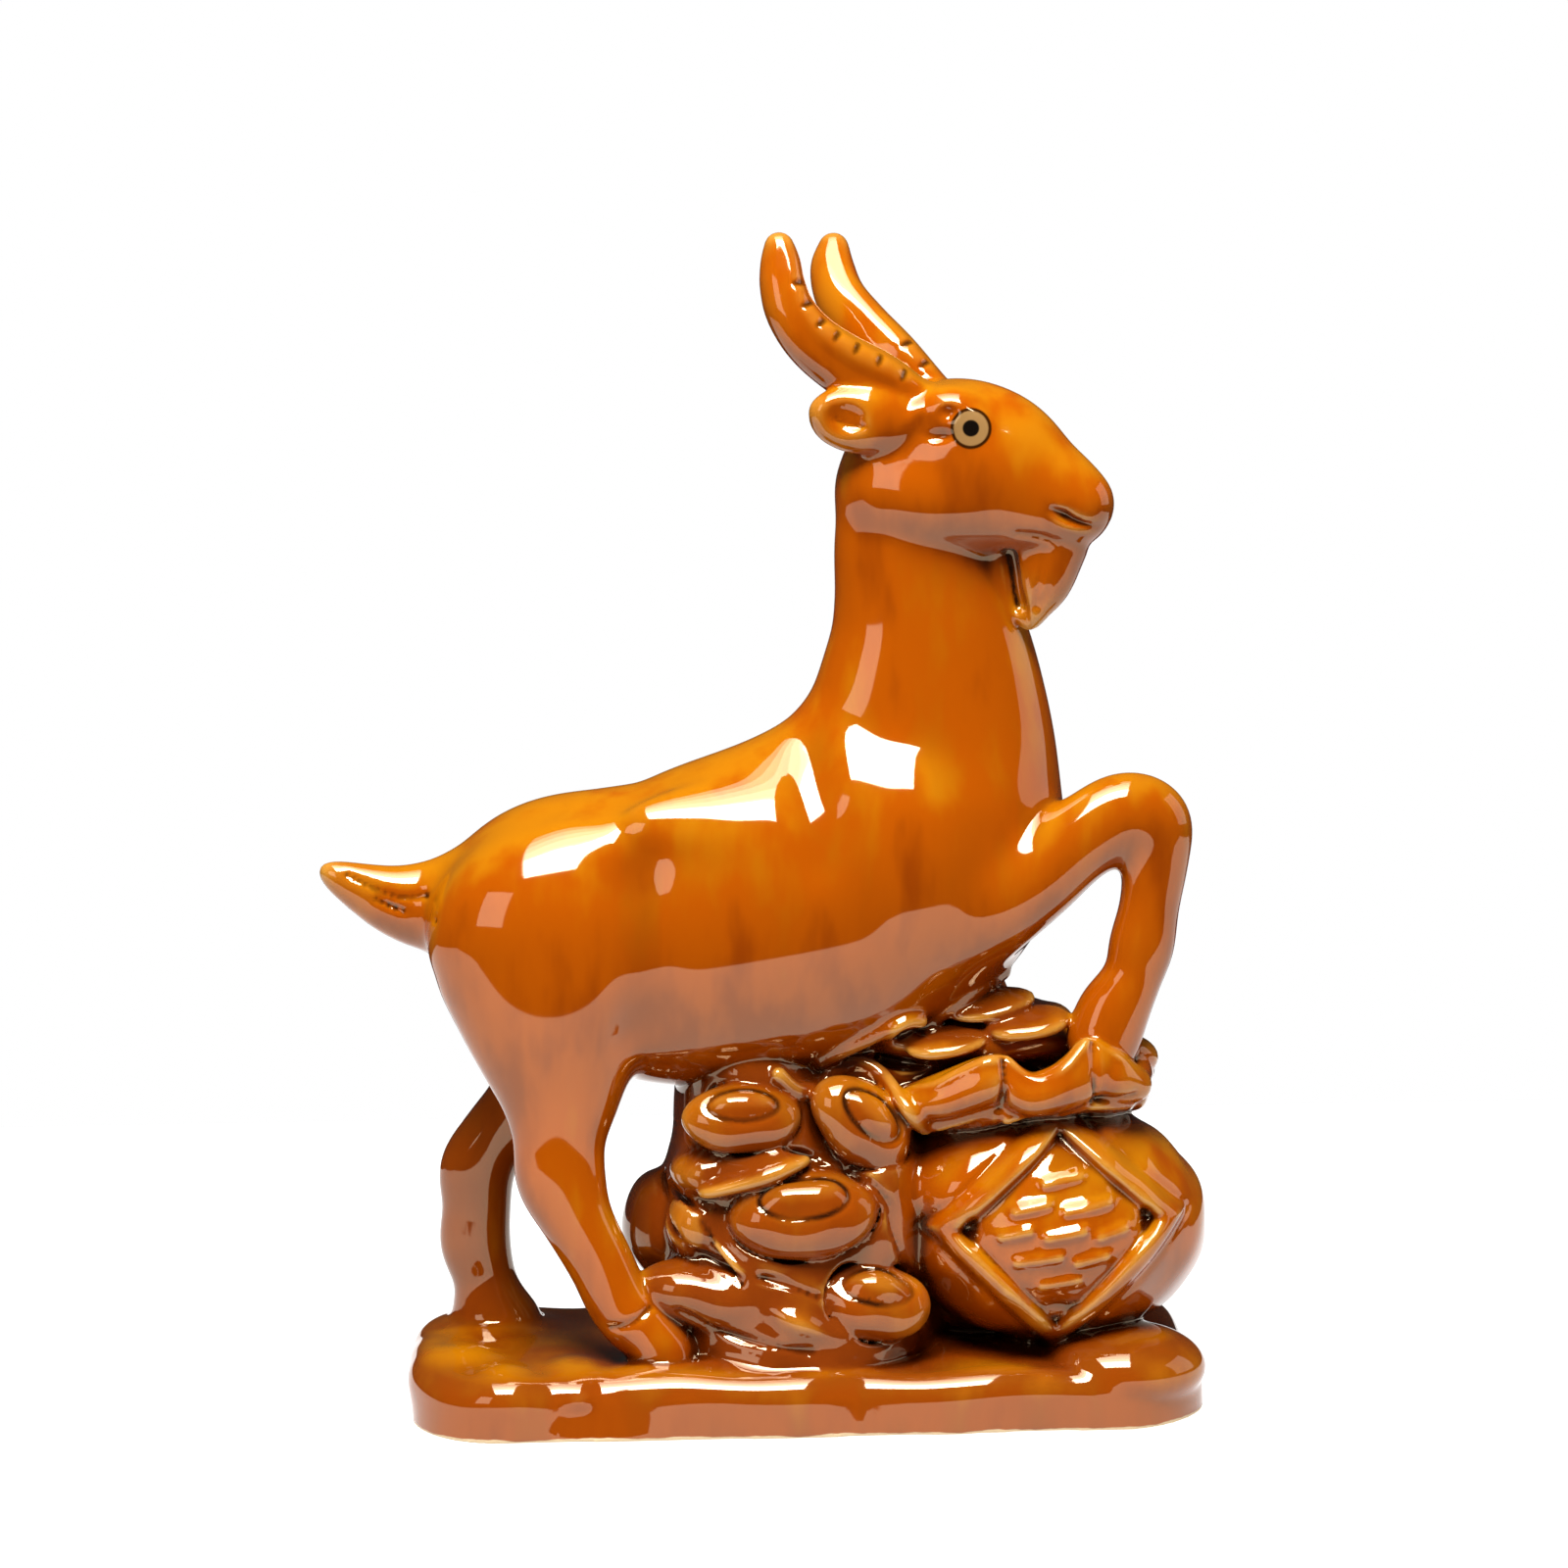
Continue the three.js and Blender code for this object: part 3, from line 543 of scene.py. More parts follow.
CREASES = [
    (1.1, [(-25, 57.5), (-19, 55.5), (-12, 55.5), (-3, 57.5)]),
    (1.1, [(-17, 52), (-13.5, 45), (-8, 37)]),
    (1.1, [(-26, 59), (-24, 48), (-17, 43), (-9.5, 40), (2, 37.5), (11, 34)]),
    (1.0, [(-24, 30), (-14, 25), (-2, 22), (10, 20.5)]),
    (1.1, [(3.5, 70.5), (15, 65.5), (24.5, 62), (30, 56), (31.5, 48), (34.5, 40), (40, 31)]),
]


def leaning(tilt, upward=UP):
    """Directions of a form that is tilted in the front plane by an angle in degrees."""
    slant = math.radians(tilt)
    return turned((math.cos(slant), 0, math.sin(slant)), upward)


heap = clay.region(HEAP_LOW, HEAP_HIGH)
roll(heap, ROCK_CORE, 6)
roll(heap, ROCK_LEDGE, 6)
for lump in ROCK_LUMPS:
    ball(heap, *lump)
for at, radii, tilt in ROCK_WEDGES:
    ball(heap, at, radii, WEDGE_BLEND, leaning(tilt))
ball(heap, *ROCK_FOOT)

# Money bag: a full round sack with a drawn-in neck and a wide wavy mouth, cast in one with the rest.
# A raised diamond frames a field of plain shallow strokes on its front.
BAG_BODY = [
    ((74.5, -5, 46), (40.5, 36, 31), 1.5), ((72, -9, 58), (33, 26, 21), 6),
    ((52, -9, 57), (19, 22, 16), 6),
]
BAG_NECK = [
    (42, -9, 76, 5, 15), (60, -7, 79, 5.5, 22), (78, -5, 80.5, 5.5, 24), (94, -2, 80, 5.5, 19),
]
RUFFLE_LEAN = (0, 1, 0.2)
BAG_RUFFLE = [
    [(34, -19, 80.5, 3.5, 6), (45, -23, 83, 5.8, 7.5),
     (54, -26, 86.5, 6.4, 7), (58, -25, 87.5, 6, 6.5)],
    [(59.5, -25, 87, 6, 6.5), (66, -28, 83.5, 5.4, 6.5),
     (74, -28, 85.8, 6.6, 6.5), (80.5, -26, 89.5, 8, 6)],
    [(82.5, -24, 89.5, 7.6, 6), (88, -24, 87, 6.2, 6), (94, -20, 84.6, 4.4, 6)],
    [(87, -16, 95, 2.2, 4), (93.5, -13, 92.6, 3, 5), (98.5, -10, 90, 3.2, 5), (99, -8, 87.5, 2.4, 4)],
    [(94, -14, 86, 5.5, 7), (97, 0, 86, 5, 7), (94, 13, 86, 5, 7),
     (78, 19, 86, 5, 7), (58, 16, 86, 5, 7), (44, 6, 84, 5, 6)],
]
RUFFLE_RIMS = [
    [(36, -22, 84.2, 1.3, 2), (42, -26, 86.2, 1.5, 2.4), (48.3, -28, 89.6, 1.6, 2.4),
     (54.5, -29, 92.4, 1.6, 2.4), (58, -28, 92.6, 1.3, 2)],
    [(60, -28, 92.4, 1.3, 2), (65, -30, 88.3, 1.6, 2.4), (70, -31, 88.2, 1.6, 2.4),
     (75, -31, 91.6, 1.6, 2.4), (80.4, -28, 97, 1.3, 2)],
    [(82.6, -27, 96.4, 1.3, 2), (88, -27, 92.6, 1.5, 2.4), (94, -23, 88, 1.2, 2)],
]
RUFFLE_HOLLOWS = [
    [(30, -13, 91, 2.5, 5), (40, -15, 91, 3, 5), (52, -17, 95, 2.5, 4)],
    [(60, -22, 97, 2, 4), (66, -24, 92, 2.6, 5), (73, -25, 94, 2.4, 5), (79, -22, 101, 2, 4)],
]
RUFFLE_CREASES = [
    (1.1, [(58.6, 93), (58.8, 87), (58.4, 82)]), (0.9, [(81.7, 97), (81.9, 90), (81.5, 82)]),
    (1.2, [(83, 82.4), (88, 82.2), (93, 83)]),
]
TIE_PLEATS = [
    (1.3, [(43, 74.5), (50, 77.5), (56, 80)]), (1.2, [(60, 77), (66, 79), (70, 80)]),
    (1.2, [(74, 79), (80, 80.5)]), (1.5, [(82, 80.5), (92, 80)]),
]
FOLD_BLEND = 0.8
LEAF_BED = ((54, -7, 94), (27, 13, 6), 3)
LEAVES = [
    ((58, -13, 104), (11.5, 6.5, 2.4), 12), ((66.5, -17, 100), (11, 7.5, 2.8), 8),
    ((46, -18, 95.3), (10.8, 6, 2.2), 9),
]
LEAF_BLEND = 1.2
LEAF_LEAN = math.radians(20)
BELLY_LIPS = [
    (2.4, [(14, 91), (20, 94.5), (26, 97.5), (33, 101), (38, 102)]),
    (1.6, [(42, 99.5), (47, 103.5), (54, 108), (62, 111.5)]),
    (1.2, [(39.5, 101), (36, 101.6), (32, 99.6), (31, 96), (34.5, 94.6), (37.5, 96.5)]),
]
BAG_FRONT_LOW = (36, -50, 12)
BAG_FRONT_HIGH = (110, -12, 84)
DIAMOND = [(73.5, 77.5), (102, 52.5), (72.5, 20.5), (43.5, 49.5)]
DIAMOND_WIDTH = 3.4
DIAMOND_HEIGHT = 1.9
DIAMOND_GROOVE = 3.6
GROOVE_WIDTH = 1.4
GROOVE_DEPTH = 0.6
FIELD_START = 1
FIELD_DEPTH = 1.1
POCKETS = [
    ((50.5, 50), (3, 5)), ((95, 52), (2.6, 5)), ((73, 31), (6.5, 3)),
]
POCKET_DEPTH = 1.8
STROKE_ROWS = [
    (63, (69, 78)), (56.4, (61, 69.5), (74, 85)), (49.8, (57.5, 64.5), (69, 78), (82.5, 89)),
    (43.2, (61.5, 72), (76.5, 84)), (37, (68, 77)),
]
STROKE_RISE = 0.9
STROKE_WIDTH = 1.9
STROKE_HEIGHT = 1.2
FLATNESS = 4


def segment_distance(x, z, ends):
    """Distance in the front plane from each grid point to the straight piece between two ends."""
    (ax, az), (bx, bz) = ends
    ex, ez = bx - ax, bz - az
    h = np.clip(((x - ax) * ex + (z - az) * ez) / (ex * ex + ez * ez), 0, 1)
    return np.hypot(x - ax - h * ex, z - az - h * ez)


def inward_distance(x, z, corners):
    """Least distance to the sides of a convex outline that runs clockwise, positive inside it."""
    sides = []
    for (ax, az), (bx, bz) in zip(corners, corners[1:] + corners[:1]):
        length = math.hypot(bx - ax, bz - az)
        sides.append(((z - az) * (bx - ax) - (x - ax) * (bz - az)) / -length)
    return np.minimum.reduce(sides)


for swell in BAG_BODY:
    ball(heap, *swell)
cut, x, y, z = heap.window(BAG_FRONT_LOW, BAG_FRONT_HIGH)
inward = inward_distance(x, z, DIAMOND)
relief = bar_height(np.abs(inward), DIAMOND_WIDTH, DIAMOND_HEIGHT, FLATNESS)
relief = relief - bar_height(np.abs(np.abs(inward) - DIAMOND_GROOVE), GROOVE_WIDTH, GROOVE_DEPTH)
relief = relief - FIELD_DEPTH * np.clip((inward - FIELD_START) / DIAMOND_WIDTH, 0, 1)
for (px, pz), (rx, rz) in POCKETS:
    relief = relief - bar_height(np.hypot((x - px) / rx, (z - pz) / rz), 1, POCKET_DEPTH)
bars = [
    segment_distance(x, z, ((start, at - STROKE_RISE), (end, at + STROKE_RISE)))
    for at, *row in STROKE_ROWS for start, end in row
]
from_bar = np.minimum.reduce(bars)
relief = relief + bar_height(from_bar, STROKE_WIDTH, STROKE_HEIGHT, FLATNESS)
heap.field[cut] -= relief
roll(heap, BAG_NECK, 2)
threads(heap, TIE_PLEATS, FOLD_BLEND)
for lobe in BAG_RUFFLE:
    roll(heap, lobe, FOLD_BLEND, RUFFLE_LEAN)
for rim in RUFFLE_RIMS:
    roll(heap, rim, 1.5)
for hollow in RUFFLE_HOLLOWS:
    roll(heap, hollow, 1, cut=True)
threads(heap, RUFFLE_CREASES, FOLD_BLEND, cut=True)
ball(heap, *LEAF_BED)
for at, radii, tilt in LEAVES:
    upward = (0, -math.sin(LEAF_LEAN), math.cos(LEAF_LEAN))
    ball(heap, at, radii, LEAF_BLEND, leaning(tilt, upward))
threads(heap, CREASES, LINE_BLEND, cut=True)
threads(heap, THREADS, LINE_BLEND)

# Ingots: four boat-shaped gold ingots half sunk in the rock, each a hull with a dome in it. Place in
# the front plane, half length, half width, tilt in that plane, lean to the back, and depth sunk.
INGOTS = [
    (-7.2, 77.8, 15.3, 9, 0, 28, 1.0), (23.3, 76, 14.8, 10, -42, 24, 0.5),
    (8.2, 53.6, 19, 11.6, 3, 28, 1.5), (25.9, 30.8, 15.2, 10, -9, 30, 1.5),
]
INGOT_MOAT = 0.9
MOAT_BLEND = 1
MOAT_SHARE = 0.7
HULL_BLEND = 0.8
HULL_SHARE = 0.75
DOME_BLEND = 0.6
DOME_AT = (0, 0.2, 0.3)
DOME_LENGTH = 0.62
DOME_SHARES = (0.5, 0.56)
OUTLINE_AT = 0.2
OUTLINE_SHARES = (0.6, 0.48)
OUTLINE_POINTS = 25
OUTLINE_RADIUS = 0.7
HEAP_WAVE = 4.3
HEAP_RIPPLE = 0.5
HEAP_UNEVENNESS = 0.3
HEAP_BLEND = 1
LIP_BLEND = 2.5


def press_ingot(clay, place, long, short, tilt, lean, sunk):
    """A narrow moat, a long ball in it for the hull, and a smaller one on the hull for the dome. The
    line scored round the dome is an ellipse laid on the hull, in shares of its half length and
    half width."""
    lean = math.radians(lean)
    axes = leaning(tilt, (0, -math.cos(lean), math.sin(lean)))
    at = np.array([place[0], met(clay, *place) + sunk, place[1]])
    moat = np.array([long, short, MOAT_SHARE * short]) + INGOT_MOAT
    ball(clay, at, moat, MOAT_BLEND, axes, cut=True)
    ball(clay, at, (long, short, HULL_SHARE * short), HULL_BLEND, axes)
    dome = (DOME_LENGTH * long, DOME_SHARES[0] * short, DOME_SHARES[1] * short)
    ball(clay, at + np.array(DOME_AT) @ axes * short, dome, DOME_BLEND, axes)
    angle = np.linspace(0, 2 * math.pi, OUTLINE_POINTS)
    u = OUTLINE_SHARES[0] * np.cos(angle)
    v = OUTLINE_AT + OUTLINE_SHARES[1] * np.sin(angle)
    w = HULL_SHARE * np.sqrt(1 - u * u - v * v)
    ring = at + np.stack([u * long, v * short, w * short], 1) @ axes
    score(clay, np.hstack([ring, np.full((OUTLINE_POINTS, 2), OUTLINE_RADIUS)]), HULL_BLEND)


rock_alone = heap.field.copy()
for x, z, *shape in INGOTS:
    press_ingot(heap, (x, z), *shape)

# The heap's skin swells and ripples as hands leave it, in wavelengths that never fall into step.
x, y, z = np.meshgrid(*heap.axes, indexing="ij", sparse=True)
swell = np.sin(x / HEAP_WAVE + z / 9) * np.cos(z / HEAP_WAVE - x / 7)
ripple = HEAP_RIPPLE * np.sin(x / 2.6 - z / 3.1 + y / 5)
heap.field += HEAP_UNEVENNESS * (swell + ripple).astype(np.float32)
goat_alone = clay.field[heap.cut].copy()
clay.field[heap.cut] = join(goat_alone, heap.field, HEAP_BLEND)
threads(clay, BELLY_LIPS, LIP_BLEND)

# Base: a rounded oblong slab with a softened top edge and a few hand-pressed lumps, cut flat
# below, where the figure stood in the kiln.
BASE_LOW = (-91, -44, 0)
BASE_HIGH = (112.5, 44, 15.5)
BASE_CORNER = 26
BASE_EDGE = 7
BASE_BLEND = 2
BASE_REACH = 8
WAVE = 10
WAVE_HEIGHT = 1.2
BASE_LEANS = [(-42, 17, 0.28), (98, 10, 0.22), (20, 9, 0.14)]
BASE_LUMPS = [
    ((-50, -27, 10), (10, 15, 7), 3), ((91, -25, 12), (21, 19, 11), 2),
    ((92, 20, 12), (18, 20, 8), 5), ((-70, 20, 12), (17, 16, 6), 6),
    ((-78, -14, 9), (13, 13, 8.5), 5), ((-68, -31, 9), (11, 12, 8), 2),
    ((-30, -32, 11), (16, 9, 5), 4),
]


def outside(a, b):
    """Distance to a corner of two half planes, rounded on the outside."""
    return np.hypot(np.maximum(a, 0), np.maximum(b, 0)) + np.minimum(np.maximum(a, b), 0)


def slab(clay, low, high, corner, edge, blend):
    """A low box with round corners in plan and a rounded top edge, pressed uneven by hand: its sides
    lean inwards in places, and its skin moves in and out by the product of three slow sine waves."""
    whole, x, y, z = clay.window(np.subtract(low, BASE_REACH), np.add(high, BASE_REACH))
    middle_x, middle_y = (low[0] + high[0]) / 2, (low[1] + high[1]) / 2
    half_x, half_y = (high[0] - low[0]) / 2 - corner, (high[1] - low[1]) / 2 - corner
    plan = outside(np.abs(x - middle_x) - half_x, np.abs(y - middle_y) - half_y) - corner
    for at, width, lean in BASE_LEANS:
        plan = plan + lean * z * np.exp(-((x - at) / width) ** 2)
    distance = outside(plan + edge, z - high[2] + edge) - edge
    waves = np.sin(x / WAVE + 1) * np.cos(y / WAVE + 0.5) * np.cos((z - x * 0.5) / WAVE)
    distance = distance + WAVE_HEIGHT * waves
    clay.field[whole] = join(clay.field[whole], distance.astype(np.float32), blend)


slab(clay, BASE_LOW, BASE_HIGH, BASE_CORNER, BASE_EDGE, BASE_BLEND)
for lump in BASE_LUMPS:
    ball(clay, *lump)

# Firing: the glaze rounds every edge by about half a millimetre and the foot is ground flat. The
# clay is skinned where its distance is zero, thinned, and each point set back on the true skin.
GLAZE_ROUNDING = 0.5
PINCH_PASSES = 4
PINCH_FILL = -0.02
TRIANGLES = 196000
SETTING_PASSES = 2
LEAST_SLOPE = 0.2
FARTHEST_MOVE = 0.4
FOOT_FLAT = 0.05
MILLIMETRE = 0.001


def close_pinches(field):
    """Fills each square of four grid points whose two diagonals disagree, so that no two sheets of
    the skin touch along one edge."""
    for _ in range(PINCH_PASSES):
        inside = field < 0
        for first, second in ((0, 1), (0, 2), (1, 2)):
            def corner(array, a, b):
                cut = [slice(None)] * 3
                cut[first] = slice(a, array.shape[first] - 1 + a)
                cut[second] = slice(b, array.shape[second] - 1 + b)
                return array[tuple(cut)]
            p, q, r, s = (corner(inside, a, b) for a, b in ((0, 0), (1, 0), (1, 1), (0, 1)))
            pinched = (p == r) & (q == s) & (p != q)
            for a, b in ((0, 0), (1, 0), (1, 1), (0, 1)):
                part = corner(field, a, b)
                part[pinched & (part >= 0)] = PINCH_FILL


CORNERS = [(a, b, c) for a in (0, 1) for b in (0, 1) for c in (0, 1)]


def skin(clay):
    """Surface net: each cell that the skin crosses gets one point, the mean of the crossings on its
    edges, and each grid edge that it crosses gets the square of the four cells round it."""
    field = clay.field
    inside = field < 0
    shape = np.array(field.shape) - 1
    number = sum(
        inside[a:shape[0] + a, b:shape[1] + b, c:shape[2] + c].astype(np.int8) for a, b, c in CORNERS
    )
    cells = np.argwhere((number > 0) & (number < 8))
    name = np.full(shape, -1, np.int32)
    name[tuple(cells.T)] = np.arange(len(cells), dtype=np.int32)
    value = {k: field[tuple((cells + k).T)] for k in CORNERS}
    total = np.zeros((len(cells), 3))
    crossings = np.zeros(len(cells))
    for start in CORNERS:
        for axis in range(3):
            if start[axis]:
                continue
            end = start[:axis] + (1,) + start[axis + 1:]
            a, b = value[start], value[end]
            crossed = (a < 0) != (b < 0)
            t = np.where(crossed, a / np.where(crossed, a - b, 1), 0)
            place = np.array(start, float) + t[:, None] * np.eye(3)[axis]
            total += place * crossed[:, None]
            crossings += crossed
    points = clay.low + clay.step * (cells + total / crossings[:, None])
    squares = []
    for axis in range(3):
        u, v = (axis + 1) % 3, (axis + 2) % 3
        before = np.moveaxis(inside, axis, 0)[:-1]
        after = np.moveaxis(inside, axis, 0)[1:]
        at = np.argwhere(np.moveaxis(before != after, 0, axis))
        at = at[(at[:, u] > 0) & (at[:, v] > 0) & (at[:, u] < shape[u]) & (at[:, v] < shape[v])]
        ring = []
        for du, dv in ((0, 0), (-1, 0), (-1, -1), (0, -1)):
            cell = at.copy()
            cell[:, u] += du
            cell[:, v] += dv
            ring.append(name[tuple(cell.T)])
        ring = np.stack(ring, 1)
        inward = ~inside[tuple(at.T)]
        ring[inward] = ring[inward][:, ::-1]
        squares.append(ring)
    return points, np.vstack(squares)


def largest_body(points, squares):
    """Keeps the largest connected body: each point takes the least label of its neighbours until
    nothing changes, with every label replaced by its own label's label on the way."""
    label = np.arange(len(points))
    edges = np.vstack([squares[:, [0, 1]], squares[:, [1, 2]], squares[:, [2, 3]]])
    while True:
        least = np.minimum(label[edges[:, 0]], label[edges[:, 1]])
        new = label.copy()
        np.minimum.at(new, label[edges[:, 0]], least)
        np.minimum.at(new, label[edges[:, 1]], least)
        new = new[new]
        if (new == label).all():
            break
        label = new
    main = np.bincount(label).argmax()
    kept = label == main
    renamed = np.cumsum(kept) - 1
    return points[kept], renamed[squares[kept[squares[:, 0]]]]


def sample(clay, field, points):
    """Value of a field at free points: the eight grid values around each, weighted by nearness."""
    place = (points - clay.low) / clay.step
    cell = np.clip(np.floor(place).astype(int), 0, np.array(field.shape) - 2)
    t = place - cell
    value = 0
    for corner in CORNERS:
        weight = np.prod(np.where(corner, t, 1 - t), axis=1)
        value = value + weight * field[tuple((cell + corner).T)]
    return value


def slope(clay, field, points):
    """Gradient of a field at free points, from its values one grid step to either side."""
    steps = np.eye(3) * clay.step
    sides = [sample(clay, field, points + s) - sample(clay, field, points - s) for s in steps]
    return np.stack(sides, 1) / (2 * clay.step)


def mesh_of(name, points, faces):
    """Mesh in metres from points in millimetres and faces of equal size."""
    mesh = bpy.data.meshes.new(name)
    faces = np.ascontiguousarray(faces, np.int32)
    sides = faces.shape[1]
    mesh.vertices.add(len(points))
    mesh.vertices.foreach_set("co", (points * MILLIMETRE).astype(np.float32).ravel())
    mesh.loops.add(faces.size)
    mesh.loops.foreach_set("vertex_index", faces.ravel())
    mesh.polygons.add(len(faces))
    mesh.polygons.foreach_set("loop_start", np.arange(0, faces.size, sides, dtype=np.int32))
    mesh.update(calc_edges=True)
    return mesh


def placed(name, data):
    """New object in the scene, at the origin."""
    made = bpy.data.objects.new(name, data)
    bpy.context.scene.collection.objects.link(made)
    return made


clay.field = sponge(clay.field, GLAZE_ROUNDING / clay.step)
uncut = clay.field
cut_z = clay.axes[2][None, None, :]
clay.field = np.maximum(clay.field, -cut_z)
close_pinches(clay.field)
points, squares = largest_body(*skin(clay))

figure = placed("glazed_goat", mesh_of("glazed_goat", points, squares))
thin = figure.modifiers.new("thin", "DECIMATE")
thin.ratio = TRIANGLES / (2 * len(squares))
thin.use_collapse_triangulate = True
bpy.context.view_layer.update()
solid = figure.evaluated_get(bpy.context.evaluated_depsgraph_get())
mesh = bpy.data.meshes.new_from_object(solid)
figure.modifiers.clear()
figure.data = mesh

points = np.empty(len(mesh.vertices) * 3, np.float32)
mesh.vertices.foreach_get("co", points)
points = points.reshape(-1, 3).astype(float) / MILLIMETRE
for _ in range(SETTING_PASSES):
    gradient = slope(clay, clay.field, points)
    size = np.maximum((gradient**2).sum(1, keepdims=True), LEAST_SLOPE)
    move = -sample(clay, clay.field, points)[:, None] * gradient / size
    points += np.clip(move, -FARTHEST_MOVE, FARTHEST_MOVE)
points[:, 2] = np.maximum(points[:, 2], 0)
mesh.vertices.foreach_set("co", (points * MILLIMETRE).astype(np.float32).ravel())
mesh.update()
normals = slope(clay, clay.field, points)
normals[points[:, 2] < FOOT_FLAT] = -UP
normals /= np.linalg.norm(normals, axis=1, keepdims=True) + 1e-9

# Attributes of the glaze: how crowded each place is, the share of clay in the space round it. It is
# a half on a flat, less on a ridge and more in a hollow, which is where the glaze pools. The widest
# scale also darkens broad hollows, under the belly and among the heap's lumps, as painted shade.
# Each has its scale in millimetres, and is averaged on every grid point or on every second one.
CROWDING = {"fine_crowding": (1.2, 1), "broad_crowding": (3.5, 2), "wide_crowding_and_shade": (9.0, 2)}


def give(name, values):
    """Lays one value on each point of the mesh, as an attribute that the glaze reads."""
    layer = mesh.attributes.new(name, "FLOAT", "POINT")
    layer.data.foreach_set("value", values.astype(np.float32))


for name, (scale, stride) in CROWDING.items():
    full = uncut[::stride, ::stride, ::stride]
    grid = Clay(clay.low, full.shape, clay.step * stride)
    share = sponge(np.clip(0.5 - full / (2 * grid.step), 0, 1), scale / grid.step)
    give(name, sample(grid, share, points))

# Near each scored line the glaze pools: the share falls from one on the line to nothing. In the
# hollow behind the beard the dark it gives is painted shade as well.
SCORE_REACH = 1.5
LINES_AT_ONCE = 64

lines = np.vstack(scored_lines)
scored = np.full(len(points), 1e9)
for start in range(0, len(lines), LINES_AT_ONCE):
    some = lines[start:start + LINES_AT_ONCE]
    low, high = some.min(0) - SCORE_REACH, some.max(0) + SCORE_REACH
    near = np.flatnonzero(((points > low) & (points < high)).all(1))
    apart = points[near, None, :] - some[None, :, :]
    scored[near] = np.minimum(scored[near], (apart**2).sum(2).min(1) if len(near) else 0)
give("scored", np.clip(1 - np.sqrt(scored) / SCORE_REACH, 0, 1))

# The rock and the ingots were dipped again in the same glaze, so they are browner than the goat. The
# second coat fades over a few millimetres towards the goat, the bag, the far legs and the base. The
# same brown is laid on the base, where glaze lies thick on its tops and, near the bag, as painted
# shade on the bag's foot; and on the far side below the belly, the far legs most, as painted shade.
COAT_EDGE = 4.0
COAT_SPONGE = 2
COAT_BAG_LINE = ((80, 112), (76, 98), (22, 91), (34, 66), (33, 44), (41, 28), (60, 14))
INGOT_COAT = 0.7
# The base's coat is glaze lying thick on its tops. Near the bag it rises as painted shade on the bag's
# foot and the lump under it.
BASE_COAT_AND_SHADE = 0.95
BASE_SIDE_SHARE = 0.6
BASE_COAT_FLOOR = 14.0
BASE_COAT_AND_SHADE_TOP = (18, 24)
BAG_FOOT_SHADE_RISE = (64, 82)
# The far side below the belly, the far legs most, is darkened with the coat's brown as painted shade.
FAR_LEG_SHADE = 0.75
FAR_LEG_FROM = (6, 12)
FAR_LEG_TOP = (90, 105)

coat = Clay(heap.low, heap.field.shape, heap.step)
line_x, line_z = (np.array(v, float) for v in zip(*COAT_BAG_LINE))
bag_edge = np.interp(-coat.axes[2], -line_z, line_x)[None, None, :]
inside = np.minimum(goat_alone - heap.field, bag_edge - coat.axes[0][:, None, None])
inside = np.minimum(inside, (coat.axes[2] - BASE_COAT_FLOOR)[None, None, :])
share = sponge(np.clip(0.5 + inside / COAT_EDGE, 0, 1).astype(np.float32), COAT_SPONGE)
coat_high = coat.low + coat.step * (np.array(share.shape) - 1)
within = ((points > coat.low) & (points < coat_high)).all(1)
coat_and_shade = np.where(within, sample(coat, share, points), 0)
on_ingot = np.where(within, np.clip(sample(coat, rock_alone, points), 0, 1), 0)
coat_and_shade = coat_and_shade * (1 - (1 - INGOT_COAT) * on_ingot)
# The base's coat rises towards the bag: painted shade on the bag's foot and the lump under it.
coat_and_shade_top = np.interp(points[:, 0], BAG_FOOT_SHADE_RISE, BASE_COAT_AND_SHADE_TOP)
on_base = np.clip((coat_and_shade_top - points[:, 2]) / COAT_EDGE, 0, 1)
on_base *= BASE_SIDE_SHARE + (1 - BASE_SIDE_SHARE) * np.clip(normals[:, 2], 0, 1)
# Painted shade on the far side below the belly.
far_side_shade = np.interp(points[:, 1], FAR_LEG_FROM, (0, 1)) * np.interp(points[:, 2], FAR_LEG_TOP, (1, 0))
give("coat_and_shade", np.maximum.reduce([coat_and_shade, BASE_COAT_AND_SHADE * on_base, FAR_LEG_SHADE * far_side_shade]))

mesh.shade_smooth()
mesh.normals_split_custom_set_from_vertices(normals.tolist())


# Lead glaze: clear amber glass, iron-stained, poured over the white body and fired glossy. It is
# pale gold where it is thin on the ridges and dark brown where it pools in the hollows. Its colour
# also carries painted light: paler on faces turned up, deeper on faces turned down, and darker in
# broad hollows and on the far side, as painted shade.
def linear(code):
    """Linear colour of an sRGB hex value."""
    parts = [int(code[i:i + 2], 16) / 255 for i in (1, 3, 5)]
    return [p / 12.92 if p <= 0.04045 else ((p + 0.055) / 1.055) ** 2.4 for p in parts] + [1]


def add(tree, kind, inputs=None, **settings):
    """Adds a shader node with its settings, and its inputs: values or outputs of other nodes."""
    made = tree.nodes.new("ShaderNode" + kind)
    for key, value in settings.items():
        setattr(made, key, value)
    for key, value in (inputs or {}).items():
        if isinstance(value, bpy.types.NodeSocket):
            tree.links.new(value, made.inputs[key])
        else:
            made.inputs[key].default_value = value
    return made


def emptied(block):
    """Node tree of a material or a world, with nothing in it yet."""
    block.use_nodes = True
    block.node_tree.nodes.clear()
    return block.node_tree


